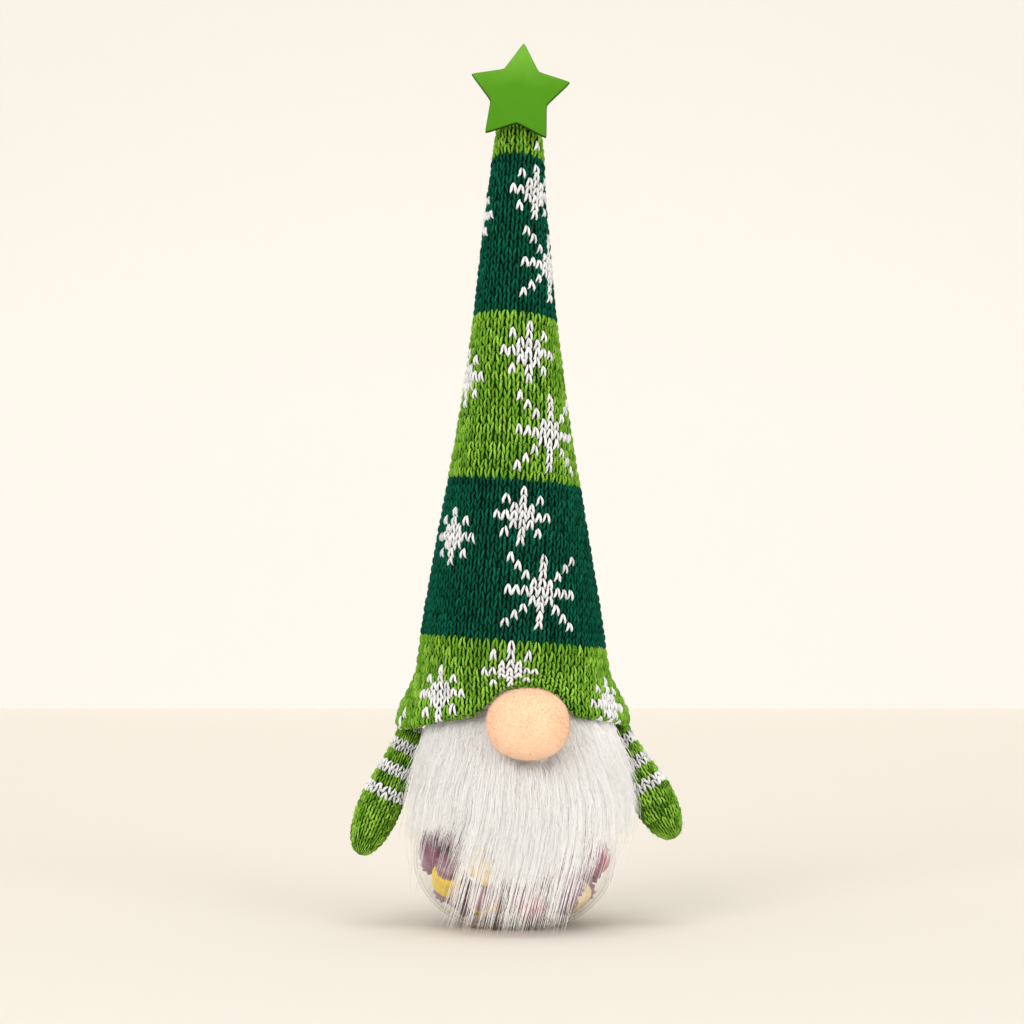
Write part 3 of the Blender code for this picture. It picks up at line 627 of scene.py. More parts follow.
def make_nose():
    """A flocked foam ball, a little squared by hand, under a coat of short fibres."""
    flock, tree, shader = principled("peach_flock", 0.95, Sheen_Weight=0.6, Sheen_Roughness=0.4,
                                     Specular_IOR_Level=0.1)
    where = place_of(tree)
    fibres = noise(tree, where, 1500.0, 3.0)
    patches = noise(tree, where, 60.0, 1.0)
    # Painted light: the flock is coloured lighter towards its underside and darker towards its top.
    painted_underside_light = maths(tree, "SUBTRACT", split(tree, where)["Z"], NOSE.z)
    painted_underside_light = times(tree, painted_underside_light, -0.22 / NOSE_HALF.z)
    both = plus(tree, times(tree, fibres, 0.6), times(tree, patches, 0.2))
    both = plus(tree, plus(tree, both, painted_underside_light), 0.1, clamp=True)
    colour = ramp(tree, both, (0.25, (0.78, 0.47, 0.29)), (0.5, (0.90, 0.57, 0.365)),
                  (0.8, (0.98, 0.70, 0.49)))
    paint(tree, shader, colour)
    relief(tree, shader, fibres, 0.15 * MM, 0.6)
    rows, columns = 40, 64
    turn = 2 * math.pi * np.arange(columns) / columns
    polar, angle = np.meshgrid(np.linspace(0.02, math.pi - 0.02, rows), turn, indexing="ij")
    way = np.stack((np.sin(polar) * np.cos(angle), np.cos(polar), np.sin(polar) * np.sin(angle)), axis=-1)
    chance = np.random.default_rng(3)
    waves = [(unit(chance.normal(0, 1, 3)), chance.uniform(0, 6)) for _ in range(7)]
    half = np.array(NOSE_HALF) * np.array((0.955, 0.97, 0.945))
    middle = np.array(NOSE) + np.array((0.0, 0.0, 0.6 * MM))

    def nose_skin(way):
        scale = (np.abs(way) ** NOSE_POWER).sum(axis=-1, keepdims=True) ** (-1 / NOSE_POWER)
        lumps = 1 + sum(0.006 * np.cos(3.2 * (way @ direction) + phase) for direction, phase in waves)
        return middle + way * scale * lumps[..., None] * half

    points = nose_skin(way)
    rounds = points.reshape(-1, 3)
    poles = np.array([points[0].mean(axis=0), points[-1].mean(axis=0)])
    quads, first, last = capped_faces(rows, columns)
    faces = (quads[:, ::-1], first[:, [1, 0, 2]], last[:, [1, 0, 2]])
    mesh = mesh_of("flocked_nose", np.concatenate((rounds, poles)), faces)
    nose = piece(mesh, flock, "head", ("nose",))
    count = 8000
    way = unit(chance.normal(0, 1, (count, 3)))
    root = nose_skin(way)
    tip = root + (way + chance.normal(0, 0.5, (count, 3))) * chance.uniform(0.20, 0.42, (count, 1)) * MM
    lines = np.stack((root, root * 0.45 + tip * 0.55, tip), axis=1)
    radii = np.tile(mm(0.060, 0.050, 0.025), (count, 1))
    side = np.cross(way, np.array((0.1, 0.3, 1.0)))[:, None]
    mesh = tube_mesh("nose_flock", lines, radii, side, 3, chance.uniform(0, 1, count))
    piece(mesh, flock, "head")


# ---- Beard ----

BEARD_SWEEP = math.radians(77)
BEARD_HEIGHTS = mm(0.0, 10.0, 20.0, 27.0, 35.0, 45.0, 60.0, 70.0, 79.0)
BEARD_LEFT = mm(-31.0, -33.5, -36.4, -38.2, -39.0, -38.2, -35.8, -34.4, -33.8)
BEARD_RIGHT = mm(31.0, 35.0, 39.2, 42.0, 43.6, 43.6, 40.6, 38.4, 36.8)
BEARD_DEPTH = mm(40.0, 40.6, 41.2, 41.8, 42.6, 43.2, 42.0, 39.5, 36.8)
FAN_SHARE = 0.78
FAN_HEIGHT = 34.0 * MM
TIP_SHARES = np.array((0.0, 0.016, 0.034, 0.052, 0.08, 0.155, 0.35, 0.76, 1.0))
TIP_HEIGHTS = mm(0.5, 1.8, 4.0, 9.0, 19.0, 33.0, 44.0, 56.0, 64.0)
EDGE_SHARES = np.array((-1.0, -0.80, -0.60, -0.45, -0.36, -0.29, 0.42, 0.50, 0.57, 0.72, 1.0))
EDGE_TIPS = mm(30.0, 32.0, 31.0, 28.0, 20.0, 0.0, 0.0, 10.0, 23.0, 28.0, 33.0)
BACKING_DROP = 37.0 * MM
FLARE_START_Z = 45 * MM
LOCKS = 130
FUR_PIECES = 4
FUR_STRANDS = 3300
FUR_TAPER = np.array((0.9, 1.0, 1.0, 1.0, 0.97, 0.92, 0.84, 0.66, 0.15))
STRAY_SHARE = 0.08
FLYAWAY_SHARE = 0.035
FLARE_SHARES = np.array((-1.0, -0.35, 0.0, 0.4, 1.0))
FLARE_DRIFTS = np.array((-0.30, -0.37, -0.17, -0.03, 0.0))


def beard_inner_radius(z):
    return 37.4 * MM + (31.8 - 37.4) * MM * ease((z - 30 * MM) / (34 * MM))


def beard_top(share):
    x = 36 * MM * np.sin(share * BEARD_SWEEP)
    return BEARD_HIGH.z - 17.0 * MM * np.exp(-(((x - NOSE.x) / (12.5 * MM)) ** 4))


def beard_point(share, z, layer):
    """A place in the beard: share from its left to its right edge, height, and layer from 0 inside to 1."""
    left = np.interp(z, BEARD_HEIGHTS, BEARD_LEFT)
    right = np.interp(z, BEARD_HEIGHTS, BEARD_RIGHT)
    angle = share * BEARD_SWEEP
    x = (left + right) / 2 + (right - left) / 2 / math.sin(BEARD_SWEEP) * np.sin(angle)
    y = -np.interp(z, BEARD_HEIGHTS, BEARD_DEPTH) * np.cos(angle)
    reach = np.hypot(x, y)
    thick = 3.0 * MM + 3.0 * MM * ease((z - 10 * MM) / (40 * MM))
    wanted = np.maximum(reach - (1 - layer) * thick, beard_inner_radius(z) + 0.25 * MM)
    return np.stack((x * wanted / reach, y * wanted / reach, z), axis=-1)


def fur_strands(count, chance):
    """Centre lines of fur fibres and their coarseness: higher roots lie outside, neighbours share locks."""
    t = np.linspace(0.0, 1.0, len(FUR_TAPER))
    share = chance.uniform(-1.03, 1.03, count)
    depth = chance.uniform(0.0, 1.0, count) ** 1.25
    root = beard_top(share) - 33 * MM * depth
    tip = np.interp(chance.uniform(0.0, 1.0, count), TIP_SHARES, TIP_HEIGHTS)
    astray = chance.uniform(0, 1, count) < STRAY_SHARE
    edge = np.interp(share, EDGE_SHARES, EDGE_TIPS) * np.where(astray, 0.35, 1.0)
    tip = edge + tip * (66 * MM - edge) / (66 * MM)
    tip = np.minimum(tip, root - 12 * MM)
    lock = np.clip(np.round((share + 1) / 2 * LOCKS + chance.normal(0, 0.5, count)), 0, LOCKS).astype(int)
    lock_share = 2 * lock / LOCKS - 1 + chance.normal(0, 0.008, LOCKS + 1)[lock]
    lock_lean = chance.normal(0, 0.018, LOCKS + 1)[lock]
    z = root[:, None] + (tip - root)[:, None] * t
    fall = np.clip((FLARE_START_Z - z) / FLARE_START_Z, 0, 1)
    height = chance.normal(0, 0.008, (count, 1))
    pace = chance.uniform(2, 5, (count, 1))
    wave = height * np.sin(t * pace + chance.uniform(0, 6, (count, 1)))
    pull = 0.8 * t ** 1.6 * chance.uniform(0.3, 1.0, (count, 1))
    stray = (lock_lean[:, None] + chance.normal(0, 0.020, (count, 1))) * t ** 2
    drift = np.interp(share, FLARE_SHARES, FLARE_DRIFTS)[:, None] * fall ** 1.5
    along = share[:, None] * (1 - pull) + lock_share[:, None] * pull + wave + stray + drift
    along = along * (FAN_SHARE + (1 - FAN_SHARE) * ease((BEARD_HIGH.z - z) / FAN_HEIGHT))
    loose = chance.uniform(0, 1, (count, 1)) < FLYAWAY_SHARE
    loose = loose * chance.uniform(0.02, 0.14, (count, 1)) * t ** 1.3
    along = along * (1 + loose)
    layer = np.clip(1 - depth[:, None] + chance.normal(0, 0.18, (count, 1)), 0, 1.25)
    layer = loose * 6 + layer * (0.35 + 0.65 * np.minimum(1, t * 4))
    coarse = 1 + 0.4 * np.clip(1 - tip / (12 * MM), 0, 1)
    return beard_point(along, z, layer), coarse


def fur_material():
    """Bright white fibres with a faint painted glow, an emission standing in for light scattered on through them;
    they shade each other faintly.
    """
    # Painted light: a faint emission makes the fur glow, standing in for light scattering through it.
    material, tree, shader = principled("white_faux_fur", 0.5, Specular_IOR_Level=0.3, Emission_Strength=0.05)
    tone = attribute(tree, "tone")
    patches = noise(tree, place_of(tree), 150.0, 2.0)
    both = plus(tree, times(tree, tone, 0.7), times(tree, patches, 0.3))
    colour = ramp(tree, both, (0.1, (0.84, 0.825, 0.81)), (0.45, (0.96, 0.95, 0.94)),
                  (0.9, (0.99, 0.985, 0.98)))
    paint(tree, shader, colour)
    through = add_node(tree, "ShaderNodeBsdfTranslucent", (("Color", colour),))
    both = add_node(tree, "ShaderNodeMixShader", ((1, shader.outputs[0]), (2, through.outputs[0])))
    both.inputs[0].default_value = 0.15
    clear = add_node(tree, "ShaderNodeBsdfTransparent")
    path = tree.nodes.new("ShaderNodeLightPath")
    bounced = times(tree, path.outputs["Is Diffuse Ray"], 0.8)
    faint = maths(tree, "MAXIMUM", times(tree, path.outputs["Is Shadow Ray"], 0.95), bounced)
    last = add_node(tree, "ShaderNodeMixShader", ((0, faint), (1, both.outputs[0]), (2, clear.outputs[0])))
    tree.links.new(last.outputs[0], tree.nodes["Material Output"].inputs["Surface"])
    return material


def make_beard():
    chance = np.random.default_rng(21)
    fur = fur_material()
    rows, columns = 16, 60
    share, down = np.meshgrid(np.linspace(-1, 1, columns), np.linspace(0, 1, rows))
    z = beard_top(share) - 0.3 * MM - BACKING_DROP * down
    backing_points = beard_point(share * 0.85, z, np.zeros(z.shape))
    mesh = mesh_of("beard_backing", backing_points.reshape(-1, 3), (grid_faces(rows, columns, False),))
    cloth = mottled("fur_backing", (0.86, 0.85, 0.83), (0.94, 0.93, 0.92), 500.0, 0.95, 2500.0, 0.15 * MM)
    backing = piece(mesh, cloth, "head", ("beard",))
    for number in range(FUR_PIECES):
        lines, coarse = fur_strands(FUR_STRANDS, chance)
        thick = chance.uniform(0.060, 0.120, (FUR_STRANDS, 1)) * coarse[:, None]
        radii = thick * FUR_TAPER * MM
        away = lines.copy()
        away[..., 2] = 0
        name = f"beard_fur_{number + 1}"
        mesh = tube_mesh(name, lines, radii, unit(away), 3, chance.uniform(0, 1, FUR_STRANDS))
        piece(mesh, fur, "head")


# ---- Arms ----

ARM_DOWN = mm(0.0, 7.0, 14.0, 21.0, 28.0, 34.5, 39.0, 41.5, 42.5)
ARM_HALF = mm(5.0, 5.6, 6.7, 7.6, 7.5, 6.4, 4.7, 2.8, 0.8)
ARM_DEPTH_SHARE = 0.82
ARM_WALES = {"green": 18, "white": 14}
ARM_ROW = 2.18 * MM
ARM_BAND = 4 * ARM_ROW


def arm_half(down, length_share):
    """An arm's half width; above the shoulder it runs on up under the brim and closes there."""
    above = np.clip((-down - 5.5 * MM) / (3.6 * MM), 0, 1)
    return np.interp(down / length_share, ARM_DOWN, ARM_HALF) * np.sqrt(np.maximum(1 - above ** 2, 0.02))


def arm_point(shoulder, hang, length_share, angle, down, out):
    """Points on an arm: angle 0 is its front, down runs from its shoulder."""
    half = np.maximum(arm_half(down, length_share) + out, 0.2 * MM)
    x, y, z = half * np.sin(angle), -ARM_DEPTH_SHARE * half * np.cos(angle), -down
    c, s = math.cos(hang), math.sin(hang)
    return np.stack((shoulder[0] + c * x + s * z, shoulder[1] + y, shoulder[2] - s * x + c * z), axis=-1)


def make_arm(side, hang, first_band, length_share):
    chance = np.random.default_rng(31 if side == "left" else 37)
    shoulder = np.array(JOINTS[f"arm_{side}_swing"]["pos_m"], float)
    axis = np.array((-math.sin(hang), 0.0, -math.cos(hang)))

    def bend(obj):
        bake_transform(obj)

    for name, material, spread in (("green", LIGHT_YARN, (0.15, 0.21)), ("white", WHITE_YARN, (0.07, 0.33))):
        wales = ARM_WALES[name]
        wale, row = np.meshgrid(np.arange(wales), np.arange(-4, 20), indexing="ij")
        wale, row = wale.ravel().astype(float), row.ravel().astype(float)
        middle = (row + 0.5) * ARM_ROW
        banded = (middle - first_band + ARM_ROW) % ARM_BAND < 2 * ARM_ROW
        white = banded & (middle < first_band + 2 * ARM_BAND + ARM_ROW)
        inside = ((row + 0.2) * ARM_ROW < 40.5 * MM * length_share) & (white == (name == "white"))
        across, down, out, radius = stitch_legs(wale[inside], row[inside], chance, spread)
        down = np.minimum(down * ARM_ROW, 42.3 * MM * length_share)
        angle = 2 * math.pi * across / wales
        lines = arm_point(shoulder, hang, length_share, angle, down, (out * 0.8 + 0.1) * MM)
        narrow = np.clip(arm_half(down, length_share) / (6.6 * MM), 0.25, 1.25)
        core = shoulder + axis * down[..., None]
        tone = np.tile(chance.uniform(0, 1, inside.sum()), 2)
        mesh = tube_mesh(f"arm_{side}_{name}_knit", lines, radius * 14.5 / wales * narrow * MM,
                         unit(lines - core), 6, tone)
        bend(piece(mesh, material, None))
    rows, columns = 40, 48
    heights = np.linspace(-9.0 * MM, 42.3 * MM * length_share, rows)
    down, angle = np.meshgrid(heights, 2 * math.pi * np.arange(columns) / columns, indexing="ij")
    points = arm_point(shoulder, hang, length_share, angle, down, np.full(down.shape, -0.75 * MM))
    ends = np.array((shoulder - axis * 9.05 * MM, shoulder + axis * (42.0 * MM * length_share)))
    points = np.concatenate((points.reshape(-1, 3), ends))
    mesh = mesh_of(f"arm_{side}_pad", points, capped_faces(rows, columns))
    # Painted shade: the pad under the stitches is near-black green, standing in for the shade in the gaps between
    # them.
    ground = mottled(f"arm_{side}_ground", (0.005, 0.018, 0.001), (0.018, 0.055, 0.004), 700.0, 0.95, 2500.0,
                     0.2 * MM)
    pad = piece(mesh, ground, None, (f"arm_{side}_cover", f"arm_{side}_stuffing"))
    bend(pad)
    count = 700
    angle, down = chance.uniform(0, 2 * math.pi, count), chance.uniform(0, 42, count) * MM * length_share
    root = arm_point(shoulder, hang, length_share, angle, down, np.full(count, -0.1 * MM))
    away = unit(root - (shoulder + axis * down[:, None]))
    wander = chance.normal(0, 1, (count, 3))
    length = chance.uniform(0.5, 1.2, (count, 1)) * MM
    first = root + away * length * 0.4 + wander * length * 0.25
    lines = np.stack((root, first, first + away * length * 0.3 + wander * length * 0.4), axis=1)
    radii = np.tile(mm(0.045, 0.035, 0.012), (count, 1))
    mesh = tube_mesh(f"arm_{side}_fuzz", lines, radii, np.cross(away, axis)[:, None], 3,
                     chance.uniform(0.5, 1, count))
    bend(piece(mesh, LIGHT_YARN, None))


# ---- Jar, cap and sweets ----

def lathe(name, profile, steps=128):
    """A turned mesh from (radius, height) pairs whose first and last lie on the axis."""
    profile = np.array(profile)
    angle = 2 * math.pi * np.arange(steps) / steps
    rings = around(profile[1:-1, :1], angle, profile[1:-1, 1:]).reshape(-1, 3)
    ends = [(0.0, 0.0, profile[0, 1]), (0.0, 0.0, profile[-1, 1])]
    return mesh_of(name, np.concatenate((rings, ends)), capped_faces(len(profile) - 2, steps))


def clear_plastic():
    """Thin clear plastic: it mirrors more at a glancing angle, its edge is a little grey, and painted shade greys
    it towards its foot.
    """
    material = bpy.data.materials.new("clear_jar_plastic")
    material.use_nodes = True
    tree = material.node_tree
    tree.nodes.remove(tree.nodes["Principled BSDF"])
    where = place_of(tree)
    smudge = noise(tree, where, 60.0, 2.0)
    edge = add_node(tree, "ShaderNodeLayerWeight", Blend=0.5).outputs["Facing"]
    tint = ramp(tree, edge, (0.0, (0.995, 0.995, 0.99)), (0.8, (0.985, 0.985, 0.98)),
                (1.0, (0.80, 0.78, 0.75)))
    # Painted shade: the plastic is tinted grey-brown towards its foot, standing in for the shadow under the jar
    # seen through its base.
    height = times(tree, split(tree, where)["Z"], 1 / FOOT_SHADE_HEIGHT, clamp=True)
    thick = ramp(tree, height, (0.1, (0.80, 0.75, 0.71)), (1.0, (1.0, 1.0, 1.0)))
    toned = mix(tree, 1.0, tint, thick, "MULTIPLY")
    clear = add_node(tree, "ShaderNodeBsdfTransparent", (("Color", toned),))
    shine = add_node(tree, "ShaderNodeBsdfAnisotropic", Roughness=0.06)
    smudge = ramp(tree, smudge, (0.3, (0.86, 0.86, 0.86)), (0.7, (0.95, 0.95, 0.95)))
    tree.links.new(smudge, shine.inputs["Color"])
    glance = times(tree, maths(tree, "POWER", edge, 4.0), 0.55)
    mirror = plus(tree, glance, 0.015, clamp=True)
    relief(tree, shine, noise(tree, where, 45.0, 1.0), 0.6 * MM, 0.35)
    both = add_node(tree, "ShaderNodeMixShader", ((0, mirror), (1, clear.outputs[0]), (2, shine.outputs[0])))
    tree.links.new(both.outputs[0], tree.nodes["Material Output"].inputs["Surface"])
    return material


JAR_RADIUS = 36.5 * MM
JAR_WIDEST_Z = 24.5 * MM
JAR_LOWER_HALF = 27.6 * MM
JAR_UPPER_HALF = 38.0 * MM
JAR_WALL = 1.0 * MM
# The height over which painted shade fades out of the jar's foot.
FOOT_SHADE_HEIGHT = 9 * MM
NECK_RADIUS = 26.0 * MM
NECK_WALL = 1.8 * MM
THREAD_Z = 57.6 * MM
THREAD_PITCH = 4.5 * MM
THREAD_TURNS = 1.25
CAP_RIBS = 96
CAP_RIB_DEPTH = 0.22 * MM
# The cap from its underside to its top as (radius in mm, height below its top in mm, 1 where it is ribbed).
CAP_PROFILE = (
    (26.5, -1.6, 0), (27.8, -1.6, 0), (27.8, -14.2, 0), (28.0, -14.2, 0), (29.0, -14.2, 0), (29.35, -13.9, 0),
    (29.4, -12.8, 0), (29.4, -12.3, 1), (29.4, -2.2, 1), (29.4, -1.8, 0), (29.1, -0.6, 0), (28.6, -0.15, 0),
    (27.9, 0.0, 0))


def bulge(z, inset=0.0):
    half = (JAR_LOWER_HALF if z < JAR_WIDEST_Z else JAR_UPPER_HALF) - inset
    reach = min(1.0, abs(z - JAR_WIDEST_Z) / half)
    return (JAR_RADIUS - inset) * math.sqrt(1 - reach * reach)


def wall_heights(low, span, steps):
    """Heights up the jar's wall, closest together near its foot and its shoulder."""
    return [low + span * (0.5 - 0.5 * math.cos(math.pi * k / steps)) for k in range(steps + 1)]


def make_jar():
    clear = clear_plastic()
    rim = JAR_HIGH.z
    bead_top = CAP_LOW.z - 0.8 * MM
    foot = [(0.0, 0.9 * MM), (9.0 * MM, 0.7 * MM), (13.5 * MM, 0.25 * MM), (15.0 * MM, 0.0),
            (bulge(0) - 0.6 * MM, 0.0)]
    outer = [(bulge(z), z) for z in wall_heights(0.3 * MM, 50.2 * MM, 40)]
    bead = [(1.2 * MM, 52.2 * MM), (2.2 * MM, 53.3 * MM), (2.5 * MM, bead_top - 0.7 * MM),
            (2.2 * MM, bead_top), (0.0, bead_top + 0.3 * MM), (0.0, rim - 0.4 * MM), (-0.4 * MM, rim)]
    floor = [(0.0, 3.0 * MM), (10.0 * MM, 2.7 * MM), (16.0 * MM, 2.2 * MM)]
    inner = [(bulge(z, JAR_WALL), z) for z in wall_heights(2.4 * MM, 47.1 * MM, 36)[1:]]
    bore = [(0.2 * MM, 52.0 * MM), (0.0, 53.2 * MM), (0.0, rim - 0.4 * MM), (0.4 * MM, rim)]
    outside = foot + outer + [(NECK_RADIUS + out, z) for out, z in bead]
    inside = floor + inner + [(NECK_RADIUS - NECK_WALL + out, z) for out, z in bore]
    mesh = lathe("clear_jar", outside + inside[::-1])
    piece(mesh, clear, "jar", ("jar_body",))
    share = np.linspace(0, 1, 120)
    angle = 2 * math.pi * THREAD_TURNS * share + math.pi / 2
    full = ease(np.minimum(share, 1 - share) / 0.08)
    line = around(NECK_RADIUS, angle, THREAD_Z + THREAD_PITCH * THREAD_TURNS * share)[None]
    away = unit(line * np.array((1.0, 1.0, 0.0)))
    mesh = tube_mesh("jar_thread", line, ((0.2 + 0.85 * full) * MM)[None], away, 10, np.zeros(1))
    piece(mesh, clear, "jar")


def make_cap():
    """A moulded cap with fine grip ribs round its skirt."""
    plastic, tree, shader = principled("white_moulded_plastic", 0.32, Specular_IOR_Level=0.5)
    where = place_of(tree)
    flow = ramp(tree, noise(tree, where, 35.0, 2.0), (0.3, (0.80, 0.80, 0.78)), (0.7, (0.87, 0.87, 0.86)))
    paint(tree, shader, flow)
    relief(tree, shader, noise(tree, where, 1800.0, 1.0), 0.03 * MM, 0.5)
    top, steps = CAP_HIGH.z, 5 * CAP_RIBS
    angle = 2 * math.pi * np.arange(steps) / steps
    groove = CAP_RIB_DEPTH * (0.5 - 0.5 * np.cos(angle * CAP_RIBS))
    rings = [around(r * MM - ribbed * groove, angle, top + z * MM) for r, z, ribbed in CAP_PROFILE]
    points = np.concatenate((*rings, [(0, 0, top + CAP_PROFILE[0][1] * MM)], [(0, 0, top)]))
    mesh = mesh_of("ribbed_cap", points, capped_faces(len(rings), steps))
    piece(mesh, plastic, "head", ("screw_cap",))


HIGHLIGHT_STRIPES = 26
SWEET_HALF = 9.35 * MM
SWEET_PLEATS = 13
WALL_GAP = 0.2 * MM
MOST_SHIFT = 2.6 * MM


def wrapper(name, low, high, end_dark, end_highlight):
    """Crinkled glossy film: its own colour over the body, darker film at the twisted ends, and painted highlight
    stripes along their pleats.
    """
    material, tree, shader = principled(name, 0.28, Specular_IOR_Level=0.55, Coat_Weight=0.3,
                                        Coat_Roughness=0.15)
    where = place_of(tree)
    crease = add_node(tree, "ShaderNodeTexVoronoi", (("Vector", where),), Scale=330.0,
                      feature="DISTANCE_TO_EDGE").outputs["Distance"]
    film = noise(tree, where, 160.0, 4.0)
    colour = ramp(tree, film, (0.3, low), (0.7, high))
    ply = split(tree, attribute(tree, "ply", "Vector"))
    # Painted highlight: pale stripes round the twisted ends stand in for light catching their pleats.
    lines = maths(tree, "SINE", times(tree, ply["Y"], 2 * math.pi * HIGHLIGHT_STRIPES))
    lines = plus(tree, times(tree, lines, 0.6), 0.4, clamp=True)
    ends = maths(tree, "SUBTRACT", maths(tree, "ABSOLUTE", ply["X"]), 5.3)
    ends = times(tree, ends, 2.5, clamp=True)
    colour = mix(tree, times(tree, ends, 0.92), colour, (*end_dark, 1.0))
    highlight_stripes = times(tree, times(tree, ends, lines), 0.45)
    colour = mix(tree, highlight_stripes, colour, (*end_highlight, 1.0))
    paint(tree, shader, colour)
    height = plus(tree, maths(tree, "MINIMUM", crease, 0.25), times(tree, film, 0.5))
    relief(tree, shader, height, 0.5 * MM, 0.8)
    return material


def sweet_mesh(name, centre, axis, chance):
    """A sweet twisted in film, pushed out to the jar's wall: a soft body, pleated necks and crimped fans."""
    steps, stations = 48, 35
    run = np.linspace(-SWEET_HALF, SWEET_HALF, stations)
    half = np.abs(run)
    body = 5.8 * MM * np.clip(1 - (half / (6.6 * MM)) ** 6.0, 0, 1) ** 0.5
    neck = 4.0 * MM + 1.0 * MM * ease((half - 6.2 * MM) / (3.0 * MM))
    radius = np.maximum(body, neck)
    angle = 2 * math.pi * np.arange(steps) / steps
    gather = ease((half - 3.2 * MM) / (4.0 * MM))
    fan = ease((half - 7.6 * MM) / (1.6 * MM))
    twist = 0.5 * np.sign(run) * ease((half - 6.0 * MM) / (3.0 * MM))
    wave = np.cos(SWEET_PLEATS * (angle[None] + twist[:, None]) + chance.uniform(0, 6))
    fine = np.cos(5 * angle[None] + chance.uniform(0, 6) + 900 * run[:, None])
    swell = 1 + (0.05 * gather[:, None] + 0.04 * fan[:, None]) * wave + 0.018 * fine
    square = 1 + 0.045 * np.cos(4 * angle + chance.uniform(0, 6))[None] * (1 - gather[:, None])
    r = radius[:, None] * swell * square
    side = unit(np.cross(axis, np.array((0.31, 0.17, 0.94))))
    other = np.cross(axis, side)
    edge = run[:, None] + 0.15 * MM * fan[:, None] * np.sign(run)[:, None] * wave
    points = (centre + edge[..., None] * axis + (r * np.cos(angle))[..., None] * side
              + (r * np.sin(angle))[..., None] * other).reshape(-1, 3)
    reach = math.hypot(centre[0], centre[1])
    if reach > 9 * MM:
        wall = np.array([bulge(z, JAR_WALL) for z in points[:, 2]])
        room = (wall - np.hypot(points[:, 0], points[:, 1])).min() - WALL_GAP
        shift = np.array((centre[0], centre[1], 0.0)) / reach * min(max(room, 0.0), MOST_SHIFT)
        points, centre = points + shift, centre + shift
    ends = np.array((centre - axis * 8.4 * MM, centre + axis * 8.4 * MM))
    count = steps * stations
    ply = np.zeros((count + 2, 3))
    ply[:count, 0] = np.repeat(run / MM, steps)
    ply[:count, 1] = np.tile(np.abs(2 * np.arange(steps) / steps - 1), stations)
    ply[count:, 0] = (-9.0, 9.0)
    return mesh_of(name, np.concatenate((points, ends)), capped_faces(stations, steps), ply=ply)


def make_sweets():
    chance = np.random.default_rng(5)
    mauve, lilac_highlight, pink_highlight = (0.17, 0.028, 0.105), (0.72, 0.55, 0.68), (0.80, 0.40, 0.48)
    films = {
        "wrapper_yellow": wrapper("yellow_film", (0.84, 0.52, 0.008), (0.95, 0.68, 0.02), mauve, lilac_highlight),
        "wrapper_crimson": wrapper("crimson_film", (0.36, 0.006, 0.03), (0.60, 0.02, 0.08), mauve, pink_highlight),
        "wrapper_mauve": wrapper("mauve_film", (0.17, 0.03, 0.11), (0.32, 0.10, 0.23), mauve, lilac_highlight),
        "wrapper_cream": wrapper("cream_film", (0.86, 0.66, 0.33), (0.94, 0.80, 0.50), mauve, lilac_highlight),
    }
    slots = {part["node"]: part["material_slot"] for part in frame["record"]["subparts"]}
    for node in sorted(n for n in frame["nodes"] if n.startswith("candy_")):
        points = np.array([v.co for v in frame["nodes"][node].data.vertices])
        centre = points.mean(axis=0)
        axis = np.linalg.svd(points - centre, full_matrices=False)[2][0]
        name, slot = node.replace("candy", "sweet"), slots[node]
        piece(sweet_mesh(name, centre, axis, chance), films[slot], "jar", (node,))


def finish_hidden_nodes():
    """Procedural finishes on the CAD nodes that stay as they are inside the head."""
    foam = mottled("white_block_foam", (0.78, 0.78, 0.76), (0.88, 0.88, 0.86), 400.0, 0.9, 1500.0, 0.2 * MM)
    glue = mottled("set_glue", (0.70, 0.66, 0.55), (0.84, 0.80, 0.70), 250.0, 0.3, 600.0, 0.1 * MM)
    liner = mottled("liner_foam", (0.80, 0.80, 0.80), (0.90, 0.90, 0.90), 600.0, 0.8, 2000.0, 0.1 * MM)
    thread = mottled("green_thread", (0.010, 0.080, 0.020), (0.030, 0.160, 0.040), 900.0, 0.8, 3000.0,
                     0.2 * MM)
    kept = {"hat_core": foam, "head_block": foam, "cap_liner": liner, "gather_thread": thread,
            "star_glue": glue, "nose_glue": glue}
    for name, material in kept.items():
        mesh = frame["nodes"][name].data
        mesh.materials.clear()
        mesh.materials.append(material)


# ---- Setting ----

def area_light(name, place, target, size, power, colour):
    data = bpy.data.lights.new(name, "AREA")
    data.shape = "DISK"
    data.size = size
    data.energy = power
    data.color = colour
    light = placed(name, data)
    light.location = place
    light.rotation_euler = (Vector(target) - Vector(place)).to_track_quat("-Z", "Y").to_euler()


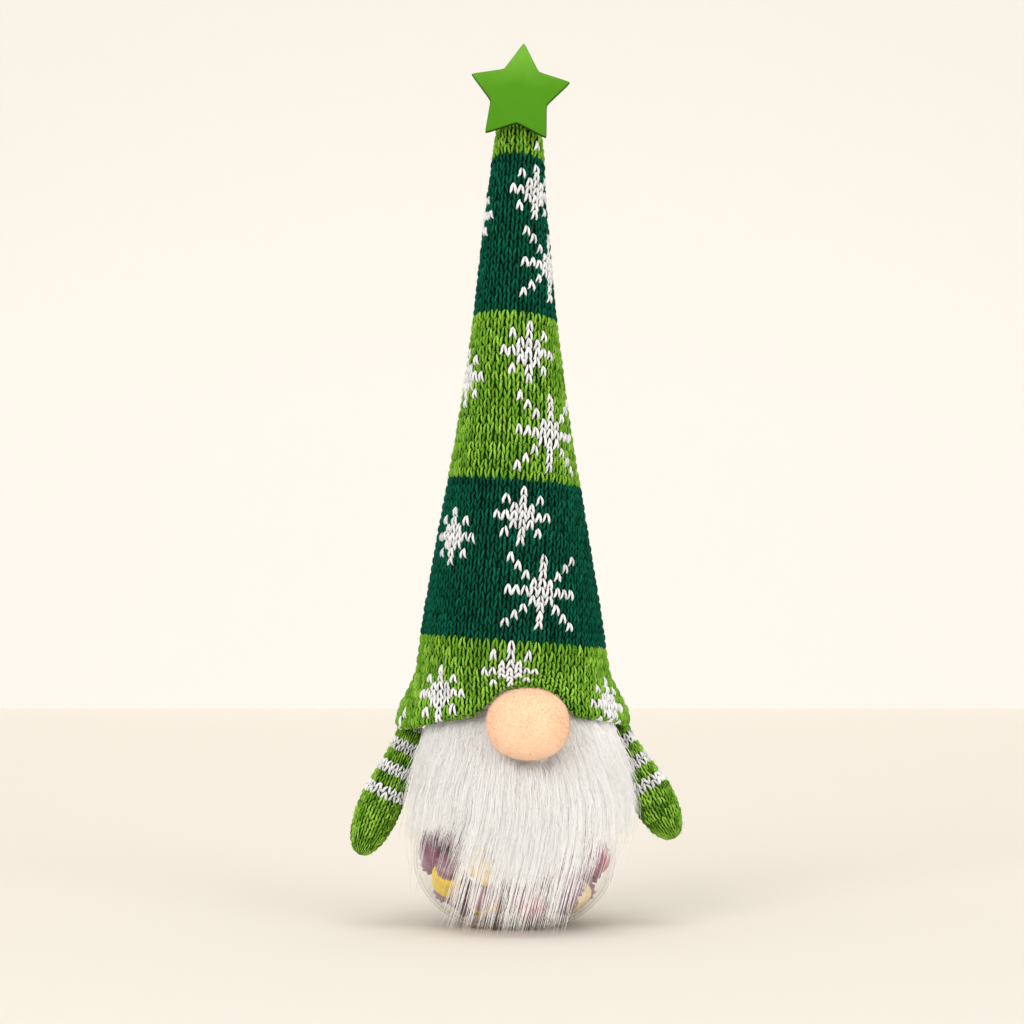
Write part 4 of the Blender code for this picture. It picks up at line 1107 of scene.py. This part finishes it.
def backdrop(name, corners, across, start, reach, *stops):
    """A flat ground whose colour changes along one axis, as (share of the way, colour) stops: painted light and
    shade for how the lamps fall across it.
    """
    material, tree, shader = principled(name, 0.9, Specular_IOR_Level=0.1)
    where = place_of(tree)
    share = maths(tree, "SUBTRACT", split(tree, where)[across], start)
    share = times(tree, share, 1 / reach)
    wander = times(tree, noise(tree, where, 3.0), 0.02)
    colour = ramp(tree, plus(tree, share, wander, clamp=True), *stops)
    paint(tree, shader, colour)
    mesh = bpy.data.meshes.new(name)
    mesh.from_pydata(corners, [], [(0, 1, 2, 3)])
    mesh.materials.append(material)
    placed(name, mesh)


def make_setting():
    scene = bpy.context.scene
    scene.view_settings.view_transform = "Standard"
    back, wide, near, tall = 1.38, 3.5, -3.0, 3.0
    floor = [(-wide, near, 0), (wide, near, 0), (wide, back, 0), (-wide, back, 0)]
    # Painted light and shade: the table is coloured lighter towards the wall, and the wall darker towards its top.
    backdrop("table", floor, "Y", -0.4, back + 0.4, (0.0, (0.69, 0.653, 0.590)), (0.20, (0.72, 0.678, 0.608)),
             (0.38, (0.763, 0.712, 0.638)), (1.0, (0.895, 0.845, 0.765)))
    wall = [(-wide, back, 0), (wide, back, 0), (wide, back, tall), (-wide, back, tall)]
    backdrop("wall", wall, "Z", 0.0, 0.6, (0.0, (0.84, 0.812, 0.795)), (0.4, (0.82, 0.797, 0.770)),
             (1.0, (0.735, 0.719, 0.683)))
    world = bpy.data.worlds.new("soft_room")
    world.use_nodes = True
    background = world.node_tree.nodes["Background"]
    background.inputs["Color"].default_value = (1.0, 0.985, 0.96, 1.0)
    background.inputs["Strength"].default_value = 0.72
    scene.world = world
    area_light("key", (-0.8, -1.55, 0.95), (0, 0, 0.12), 1.1, 17.0, (1.0, 0.98, 0.95))
    area_light("fill", (1.1, -1.45, 0.60), (0, 0, 0.12), 1.1, 12.0, (1.0, 0.98, 0.96))
    area_light("wall_wash", (0.0, -0.2, 1.9), (0.0, 1.38, 0.5), 1.4, 14.0, (1.0, 0.99, 0.97))
    camera = bpy.data.cameras.new("camera")
    camera.sensor_width = 36.0
    distance, view_width = 1.25, 368.64 * MM
    camera.lens = camera.sensor_width * distance / view_width
    camera.clip_start = 0.05
    camera.clip_end = 20.0
    holder = placed("camera", camera)
    holder.location = (-0.9 * MM, -distance, 148.7 * MM)
    holder.rotation_euler = (math.radians(90), 0, 0)
    scene.camera = holder


make_hat()
make_star()
make_nose()
make_beard()
make_arm("left", math.radians(23.0), 0.8 * MM, 1.0)
make_arm("right", math.radians(-28.5), -2.2 * MM, 0.89)
make_jar()
make_cap()
make_sweets()
finish_hidden_nodes()
make_setting()
